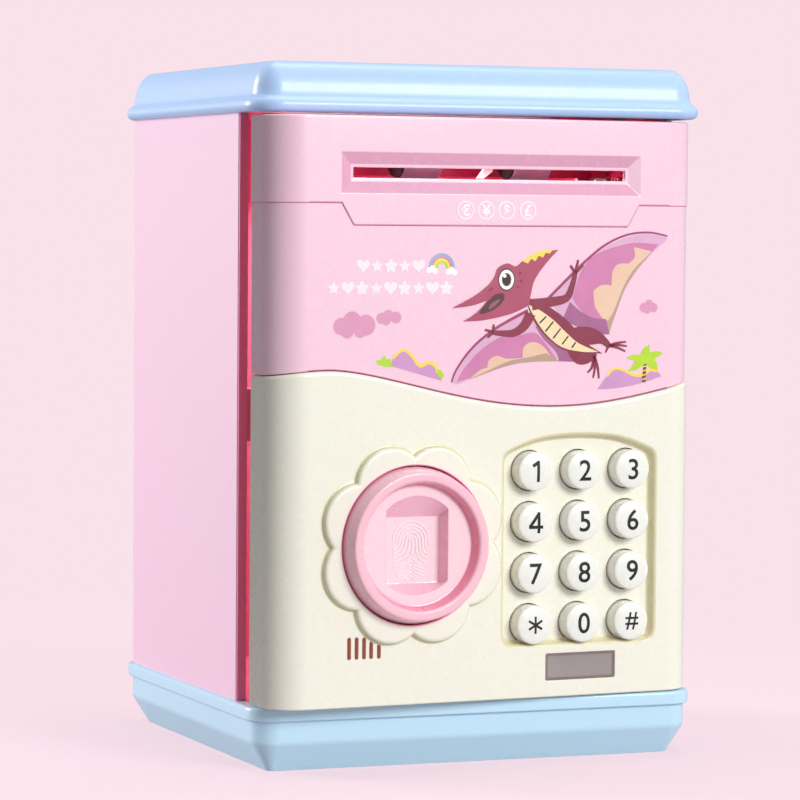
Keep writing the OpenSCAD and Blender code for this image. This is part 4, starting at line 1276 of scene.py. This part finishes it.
def print_scenery():
    """Clouds, hills, a palm, a rainbow and two rows of small shapes."""
    p = Print()
    for k, shape in enumerate((heart, star, blossom, star, heart)):
        p.lay("chalk", shape(-38.7 + 4.1 * k, 135.6, 1.95))
    for k, shape in enumerate((star, heart, blossom) * 3):
        p.lay("chalk", shape(-47.3 + 4.17 * k, 129.7, 2.0))
    p.lay("cloud", puffs(-41.2, 119.6, [(-45.0, 119.6, 2.3), (-41.8, 121.0, 2.6), (-37.8, 119.9, 2.8),
        (-43.2, 118.3, 1.9), (-39.4, 118.4, 1.9)]))
    p.lay("cloud", puffs(-31.1, 121.7, [(-33.2, 121.7, 1.5), (-31.2, 122.4, 1.6), (-28.9, 121.9, 1.6),
        (-31.8, 121.0, 1.2)]))
    p.lay("cloud", puffs(48.4, 124.4, [(46.9, 124.3, 1.3), (48.6, 125.2, 1.3), (50.0, 124.3, 1.3),
        (48.0, 123.7, 1.1)]))
    for key, outer, inner in (("slate", 3.9, 3.0), ("rosy", 2.95, 2.6), ("yellow", 2.55, 1.85),
                              ("green", 1.8, 1.2)):
        p.lay(key, band(-15.4, 135.2, outer, inner, -8, 188))
    p.lay("snow", puffs(-18.4, 134.6, [(-19.2, 134.5, 0.8), (-18.2, 134.9, 0.9), (-17.3, 134.3, 0.8)]), 1)
    p.lay("snow", puffs(-12.5, 134.2, [(-13.4, 134.1, 0.8), (-12.4, 134.5, 0.9), (-11.5, 133.9, 0.8)]), 1)
    p.lay("hill", spline([(-30.8, 109.1, C), (-28.7, 111.9), (-26.3, 112.9), (-24.2, 111.6), (-21.8, 108.9),
        (-19.4, 109.5), (-17.3, 108.5), (-15.1, 104.8, C)]))
    p.lay("yellow", stroke([(-29.7, 111.0), (-27.6, 112.9), (-25.8, 113.0), (-23.8, 111.3), (-21.7, 108.9),
        (-19.2, 109.8), (-17.2, 108.9), (-16.2, 107.0)], 0.7, 1.0), 1)
    p.lay("green", [(-34.9, 110.4), (-33.4, 110.6), (-32.3, 111.8), (-31.5, 110.8), (-30.2, 110.9),
        (-30.4, 109.7), (-29.6, 108.7), (-32.4, 108.8), (-34.1, 109.4)], 1)
    p.lay("green", [(-16.5, 107.9), (-15.3, 107.7), (-14.4, 106.2), (-15.2, 105.2), (-16.3, 106.1)], 2)
    p.lay("hill", spline([(32.5, 101.9, C), (35.6, 105.6), (38.6, 107.7), (41.6, 106.8), (45.4, 105.2),
        (48.6, 106.9), (50.8, 107.0), (52.8, 105.3, C), (46.0, 103.4), (39.0, 102.2)]))
    p.lay("yellow", stroke([(35.6, 105.4), (37.6, 107.5), (40.4, 107.3), (43.4, 105.9), (46.4, 105.7),
        (49.2, 107.1), (51.3, 106.7)], 0.6, 0.9), 1)
    p.lay("bark", stroke([(47.1, 103.7), (47.3, 106.0), (47.5, 109.4)], 1.2, 0.9), 2)
    for k in range(4):
        z = 104.3 + 1.15 * k
        p.lay("yellow", [(46.7, z), (47.9, z + 0.3), (47.9, z + 0.65), (46.7, z + 0.35)], 3)
    p.lay("green", spline([(41.4, 110.5, C), (43.6, 111.3), (46.0, 111.3, C), (47.0, 113.0),
        (48.7, 114.1, C), (49.1, 111.9, C), (51.4, 112.3), (53.2, 111.6, C), (50.4, 110.0, C),
        (51.3, 108.8), (51.4, 107.0, C), (49.0, 107.9), (47.6, 108.9, C), (44.8, 107.2), (42.2, 106.9, C),
        (43.5, 108.3), (44.4, 109.7, C)]), 4)
    p.done("print_scenery", "door", ON_DOOR, (), "pink_shell")


def print_creature():
    """A flying reptile of no particular kind, mid-flap, with an open beak and a toothed crest."""
    p = Print()
    # wings
    p.lay("haze", spline([(17.4, 126.2, C), (23.0, 131.6), (28.6, 136.6), (35.0, 141.1), (42.0, 143.8),
        (48.6, 144.6), (54.0, 143.6, C), (53.2, 142.3), (49.4, 139.4), (44.6, 134.6), (41.0, 129.4),
        (38.2, 123.0), (36.0, 117.2, C), (30.0, 118.4), (22.0, 121.0, C)]))
    p.lay("wing", spline([(24.6, 127.0, C), (26.8, 133.6), (30.6, 138.2), (36.4, 140.6), (43.6, 142.1),
        (51.4, 141.7, C), (48.6, 138.8), (44.4, 134.3), (40.8, 129.2), (38.0, 122.9), (35.9, 117.4, C),
        (30.6, 120.6), (26.2, 124.6)]), 1)
    p.lay("peach", spline([(43.5, 141.0, C), (43.9, 138.2), (41.9, 136.4, C), (38.6, 136.2), (36.9, 134.0),
        (36.7, 130.4, C), (33.6, 130.5), (31.0, 128.9, C), (31.6, 124.6), (34.2, 121.2, C), (37.0, 121.4),
        (40.5, 128.9), (44.2, 134.2), (49.2, 139.8, C)]), 2)
    p.lay("tan", spline([(49.0, 139.3, C), (44.5, 134.6), (41.0, 129.5), (38.3, 123.2), (36.0, 117.2, C),
        (34.9, 119.4), (37.6, 123.6), (40.2, 129.6), (43.8, 135.0)]), 3)
    p.lay("shade", spline([(23.8, 125.9, C), (27.0, 123.4), (30.8, 121.6), (35.0, 121.2, C),
        (36.2, 117.0, C), (30.0, 117.6), (21.6, 121.2, C)]), 4)
    p.lay("haze", spline([(10.4, 122.9, C), (1.6, 118.7), (-5.6, 113.4), (-10.4, 107.6), (-11.8, 104.6),
        (-10.4, 103.8), (-6.4, 105.2), (4.7, 108.6), (12.0, 109.6), (18.0, 109.7), (24.9, 109.6, C),
        (22.0, 114.6), (14.0, 119.6, C)]))
    p.lay("wing", spline([(9.0, 117.0, C), (3.0, 116.6), (-3.4, 113.0), (-8.6, 107.8), (-10.6, 104.4, C),
        (-6.2, 105.6), (4.8, 109.0), (12.0, 110.0), (20.0, 110.0, C), (16.4, 114.6), (13.0, 117.6)]), 1)
    p.lay("peach", spline([(-6.4, 105.5, C), (-3.6, 107.6), (-1.4, 108.2, C), (-0.9, 110.2), (1.4, 111.4),
        (4.6, 110.6), (9.4, 110.8, C), (9.6, 113.6), (12.0, 115.0), (15.2, 114.2), (18.2, 110.9, C),
        (12.0, 110.1), (4.8, 109.1)]), 2)
    p.lay("tan", spline([(-6.6, 105.1, C), (4.7, 108.7), (12.0, 109.7), (20.6, 109.8, C), (16.6, 112.0, C),
        (11.0, 110.9), (4.4, 109.7)]), 3)
    p.lay("shade", spline([(13.2, 119.4, C), (15.6, 116.0), (19.6, 112.4), (20.6, 109.8, C),
        (25.2, 109.6, C), (24.0, 113.4), (17.0, 117.6)]), 4)
    for edge in ([(17.0, 126.8), (22.6, 131.9), (28.3, 136.9), (34.6, 141.5), (41.4, 144.3), (48.4, 145.0),
                  (54.2, 144.0)],
                 [(10.8, 123.6), (1.5, 119.1), (-5.9, 113.7), (-10.8, 107.7), (-12.1, 104.4)]):
        p.lay("plum", stroke(edge, 0.85, 0.42), 4)
    # legs and feet
    p.lay("dark", spline([(24.4, 118.4), (28.8, 119.1), (32.8, 118.0), (35.8, 115.4), (36.9, 113.8, C),
        (35.8, 113.0, C), (33.6, 114.4), (30.4, 114.2), (26.0, 114.2)]), 5)
    p.lay("dark", spline([(22.6, 114.4), (24.2, 110.6), (27.0, 108.8), (30.2, 109.4), (32.4, 111.4, C),
        (30.8, 112.4), (27.0, 113.6)]), 5)
    for toe in ((41.4, 114.9), (41.7, 113.7), (41.2, 112.3), (35.0, 112.0)):
        p.lay("dark", stroke([(36.0, 113.9), ((36.2 + toe[0]) / 2, toe[1] * 0.5 + 57.2), toe], 0.9, 0.4), 6)
    for toe in ((33.0, 104.9), (31.2, 105.1), (29.4, 106.6)):
        p.lay("dark", stroke([(31.4, 111.2), ((31.6 + toe[0]) / 2 + 0.3, 108.0), toe], 1.0, 0.4), 6)
    # body and arms
    p.lay("dark", spline([(10.6, 126.6), (14.0, 126.0), (18.4, 124.0), (22.8, 121.0), (26.6, 117.4),
        (29.4, 114.4), (34.0, 111.8, C), (28.0, 112.0), (21.6, 113.0), (16.4, 116.6), (12.6, 121.0)]), 7)
    p.lay("belly", spline([(10.9, 125.2, C), (14.6, 123.6), (18.8, 120.9), (22.6, 117.6), (26.6, 114.6),
        (32.8, 112.2, C), (27.6, 112.3), (21.4, 113.6), (16.6, 117.0), (13.0, 121.4)]), 8)
    for a, c in (((14.4, 120.2), (16.4, 122.0)), ((16.2, 117.9), (18.6, 120.6)),
                 ((18.6, 116.0), (20.9, 118.7)), ((21.4, 114.4), (23.3, 116.6)),
                 ((24.4, 113.4), (25.6, 114.9))):
        p.lay("ebony", stroke([a, c], 0.45, 0.4), 9)
    p.lay("dark", stroke([(12.0, 125.2), (17.6, 125.9), (22.6, 127.0), (24.4, 130.4),
        (25.4, 134.2)], 3.2, 1.1), 9)
    p.lay("dark", stroke([(11.6, 122.8), (9.8, 119.6), (6.6, 117.6), (3.0, 117.5),
        (-0.2, 117.8)], 3.2, 1.0), 9)
    for tip in ((23.8, 135.9), (26.2, 137.4), (27.8, 136.0)):
        p.lay("dark", stroke([(25.3, 133.8), tip], 0.9, 0.5), 10)
    for tip in ((-2.2, 118.5), (0.4, 119.9), (-1.4, 116.4)):
        p.lay("dark", stroke([(0.3, 117.8), tip], 0.9, 0.5), 10)
    # head
    p.lay("maroon", spline([(-12.2, 124.4, C), (-6.0, 127.4), (-1.8, 130.2), (0.4, 132.6), (1.6, 135.2),
        (4.4, 136.4), (7.0, 135.6), (9.6, 137.4), (14.0, 139.4), (19.9, 140.1, C), (15.6, 135.8),
        (12.6, 131.6), (11.6, 128.0), (11.0, 125.0, C), (6.4, 123.0), (1.4, 121.8), (-3.6, 121.0),
        (-8.8, 120.8, C), (-5.6, 122.6), (-3.4, 124.4), (-1.6, 126.4, C), (-6.4, 125.0)]), 11)
    p.lay("mouth", spline([(-4.0, 122.9), (-2.4, 125.2), (0.4, 127.8), (3.0, 128.3), (3.4, 126.6),
        (1.2, 124.4), (-1.6, 123.1)]), 12)
    p.lay("tongue", spline([(-1.2, 124.0), (0.6, 124.9), (2.2, 126.6), (0.6, 126.2), (-0.8, 125.2)]), 13)
    p.lay("yellow", [(8.9, 137.0), (11.4, 138.5), (14.2, 139.7), (18.4, 140.2), (17.2, 139.1),
        (16.0, 139.3), (15.2, 138.0), (13.8, 138.5), (12.9, 137.0), (11.6, 137.7), (10.6, 136.4)], 12)
    for x, z, r in ((8.2, 133.7, 0.45), (8.5, 131.6, 0.4), (7.5, 129.9, 0.35)):
        p.lay("dark", circle(x, z, r, 16), 12)
    p.lay("dark", stroke([(-1.1, 129.0), (-0.1, 129.8)], 0.5, 0.6), 12)
    eye_x, eye_z = 4.1, 132.0
    for key, w, h, layer in (("ebony", 2.55, 3.0, 12), ("snow", 2.25, 2.7, 13), ("bark", 1.45, 1.8, 14),
                             ("ebony", 1.15, 1.5, 15)):
        p.lay(key, [(eye_x + w * x, eye_z + h * z) for x, z in circle(0, 0, 1, 32)], layer)
    p.lay("snow", circle(3.5, 133.0, 0.5, 16), 16)
    p.done("print_creature", "door", ON_DOOR, (), "pink_shell")


def window_edge():
    """Darker edge of the indicator window's lens: painted shade."""
    b = Build("edge")
    x0, x1, z0, z1 = WINDOW
    lens_y = door_box("indicator_window")[0].y
    rise = 0.05
    loops = [b.loop(at_y(rounded(x0 + o, x1 - o, z0 + o, z1 - o, 0.5, 4), y))
             for o, y in ((0.12, lens_y), (0.12, lens_y - rise), (0.75, lens_y - rise), (0.75, lens_y))]
    b.rings(loops + loops[:1])
    b.done("window_edge", "door", ON_DOOR, (), "smoky_lens")


def step_groove():
    """Thin dark line along the step of the pink panel: painted shade of the step."""
    b = Build("groove")
    width, shift = 0.24, 0.26
    y = PINK_Y - RAISE - 0.02
    ends = [(-FLAT_X, STEP_HIGH + shift), (FLAT_X, STEP_HIGH + shift)]
    points = ends[:1] + step_line(shift / STEP_HALF) + ends[1:]
    for p, q in zip(points, points[1:]):
        line = stroke([p, ((p[0] + q[0]) / 2, (p[1] + q[1]) / 2), q], width, width)
        b.slab(line, lambda x, z: (x, y, z), lambda x, z: (x, y + PRINT_BACK, z))
    b.done("step_groove", "door", ON_DOOR, (), "pink_shell")


def coin_signs():
    """Four raised coin signs under the banknote slot."""
    b = Build("pale")
    face = PINK_Y - RAISE
    z, rise = 150.7, 0.08
    ring = ((2.5, face + PRINT_BACK), (2.5, face - rise), (2.2, face - rise), (2.2, face + PRINT_BACK))
    for x, sign in ((-8.5, "\u20ac"), (-2.3, "\u00a5"), (3.9, "$"), (10.4, "\u00a3")):
        loops = [b.loop(at_y(circle(x, z, r, 40), y)) for r, y in ring]
        b.rings(loops + loops[:1])
        lay_glyph(b, sign, 3.2, x, z, lambda x, z: face, rise, 0.02)
    b.done("coin_signs", "door", ON_DOOR, (), "pink_shell")


fingerprint_button()
spring_coil()
print_scenery()
print_creature()
step_groove()
coin_signs()
window_edge()

# ---------------------------------------------------------------- camera, floor and light

def look_along(yaw, pitch, roll):
    """Camera rotation from its heading (towards +X from +Y), downward pitch and roll, in degrees."""
    yaw, pitch, roll = (math.radians(a) for a in (yaw, pitch, roll))
    forward = Vector((math.sin(yaw) * math.cos(pitch), math.cos(yaw) * math.cos(pitch), -math.sin(pitch)))
    right = Vector((math.cos(yaw), -math.sin(yaw), 0))
    up = right.cross(forward)
    side = math.cos(roll) * right + math.sin(roll) * up
    above = -math.sin(roll) * right + math.cos(roll) * up
    return Matrix((side, above, -forward)).transposed()


CAMERA_PLACE = (-0.39006, -0.97864, 0.14749)
CAMERA_YAW, CAMERA_PITCH, CAMERA_ROLL = 21.68, 2.77, 0.44
CAMERA_LENS = 166.03


def camera():
    """The camera, as fitted to the photo."""
    data = bpy.data.cameras.new("camera")
    data.sensor_width = 36.0
    data.lens = CAMERA_LENS
    data.clip_start = 0.05
    data.clip_end = 20.0
    obj = new_object("camera", data)
    turned = look_along(CAMERA_YAW, CAMERA_PITCH, CAMERA_ROLL).to_4x4()
    obj.matrix_world = Matrix.Translation(CAMERA_PLACE) @ turned
    bpy.context.scene.camera = obj


FLOOR_R = 0.4


def backdrop():
    """A pale floor that fades into the plain pale background."""
    m, nodes = new_material("pale_floor")
    nodes.mottled("F6DCE5", "F8E0E9", 3.0)
    nodes.rough_patches(0.7, 0.85, 6.0)
    ball = nodes.add("TexGradient", gradient_type="SPHERICAL")
    shrink = nodes.add("Mapping", {"Scale": (1 / FLOOR_R, 1 / FLOOR_R, 1 / FLOOR_R)})
    fade = nodes.add("MapRange", {"From Max": 0.75, "To Max": 0.3}, interpolation_type="SMOOTHSTEP")
    nodes.join(nodes.place, "Object", shrink, "Vector")
    nodes.join(shrink, "Vector", ball, "Vector")
    nodes.join(ball, "Fac", fade, "Value")
    nodes.join(fade, "Result", nodes.main, "Alpha")
    mesh = bpy.data.meshes.new("floor")
    rim = at_z(circle(0, 0, FLOOR_R, 96), 0)
    mesh.from_pydata(rim, [], [list(range(len(rim)))])
    mesh.materials.append(m)
    new_object("floor", mesh)


def light(name, place, target, size, watts, colour=(1, 1, 1)):
    """A rectangular area light at place that points at target."""
    data = bpy.data.lights.new(name, "AREA")
    data.shape = "RECTANGLE"
    data.size, data.size_y = size
    data.energy = watts
    data.color = colour
    obj = new_object(name, data)
    obj.location = place
    obj.rotation_euler = (Vector(target) - Vector(place)).to_track_quat("-Z", "Y").to_euler()
    return obj


def keep_off(lamp, names):
    """The lamp doesn't light the named objects."""
    spared = bpy.data.collections.new("not_lit_by_" + lamp.name)
    for name in names:
        spared.objects.link(bpy.data.objects[name])
    for member in spared.collection_objects:
        member.light_linking.link_state = "EXCLUDE"
    lamp.light_linking.receiver_collection = spared


def studio():
    """Neutral soft light, in front of a plain pale pink background."""
    world = bpy.data.worlds.new("studio")
    nodes = Nodes(world, "Background")
    ambient = nodes.main
    set_sockets(ambient, {"Color": (0.95, 0.97, 1.0, 1)})
    split = nodes.add("SeparateXYZ")
    side = nodes.add("MapRange", {"From Min": -0.9, "From Max": 0.9, "To Min": 0.26, "To Max": 0.5})
    nodes.join(nodes.place, "Generated", split, "Vector")
    nodes.join(split, "X", side, "Value")
    nodes.join(side, "Result", ambient, "Strength")
    seen = nodes.add("Background", {"Color": srgb("F9E2EA")})
    ray = nodes.add("LightPath")
    mix = nodes.add("MixShader")
    nodes.join(ray, "Is Camera Ray", mix, "Fac")
    nodes.join(ambient, "Background", mix, 1)
    nodes.join(seen, "Background", mix, 2)
    nodes.join(mix, "Shader", nodes.tree.nodes["World Output"], "Surface")
    bpy.context.scene.world = world
    middle = (0, 0, 0.1)
    inside_tint = (1, 0.9, 0.9)
    light("key", (0.5, -1.3, 0.62), middle, size=(0.6, 0.5), watts=16)
    left = light("left", (-1.05, 0.9, 0.4), middle, size=(0.6, 0.8), watts=20, colour=(1, 0.97, 0.99))
    keep_off(left, ("pink_door_panel", "cream_door_panel"))
    light("top", (0.1, 0.1, 1.3), middle, size=(0.7, 0.7), watts=6)
    # the light behind the banknote slot moves with the door
    feed = light("feed", (-0.005, -0.056, 0.1715), (-0.005, -0.05, 0.15), size=(0.09, 0.004), watts=0.024,
                 colour=inside_tint)
    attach(feed, "door")
    light("compartment", (0, 0.01, 0.165), (0, -0.02, 0.05), size=(0.08, 0.05), watts=0.12,
          colour=inside_tint)
    bpy.context.scene.view_settings.view_transform = "Standard"


camera()
backdrop()
studio()
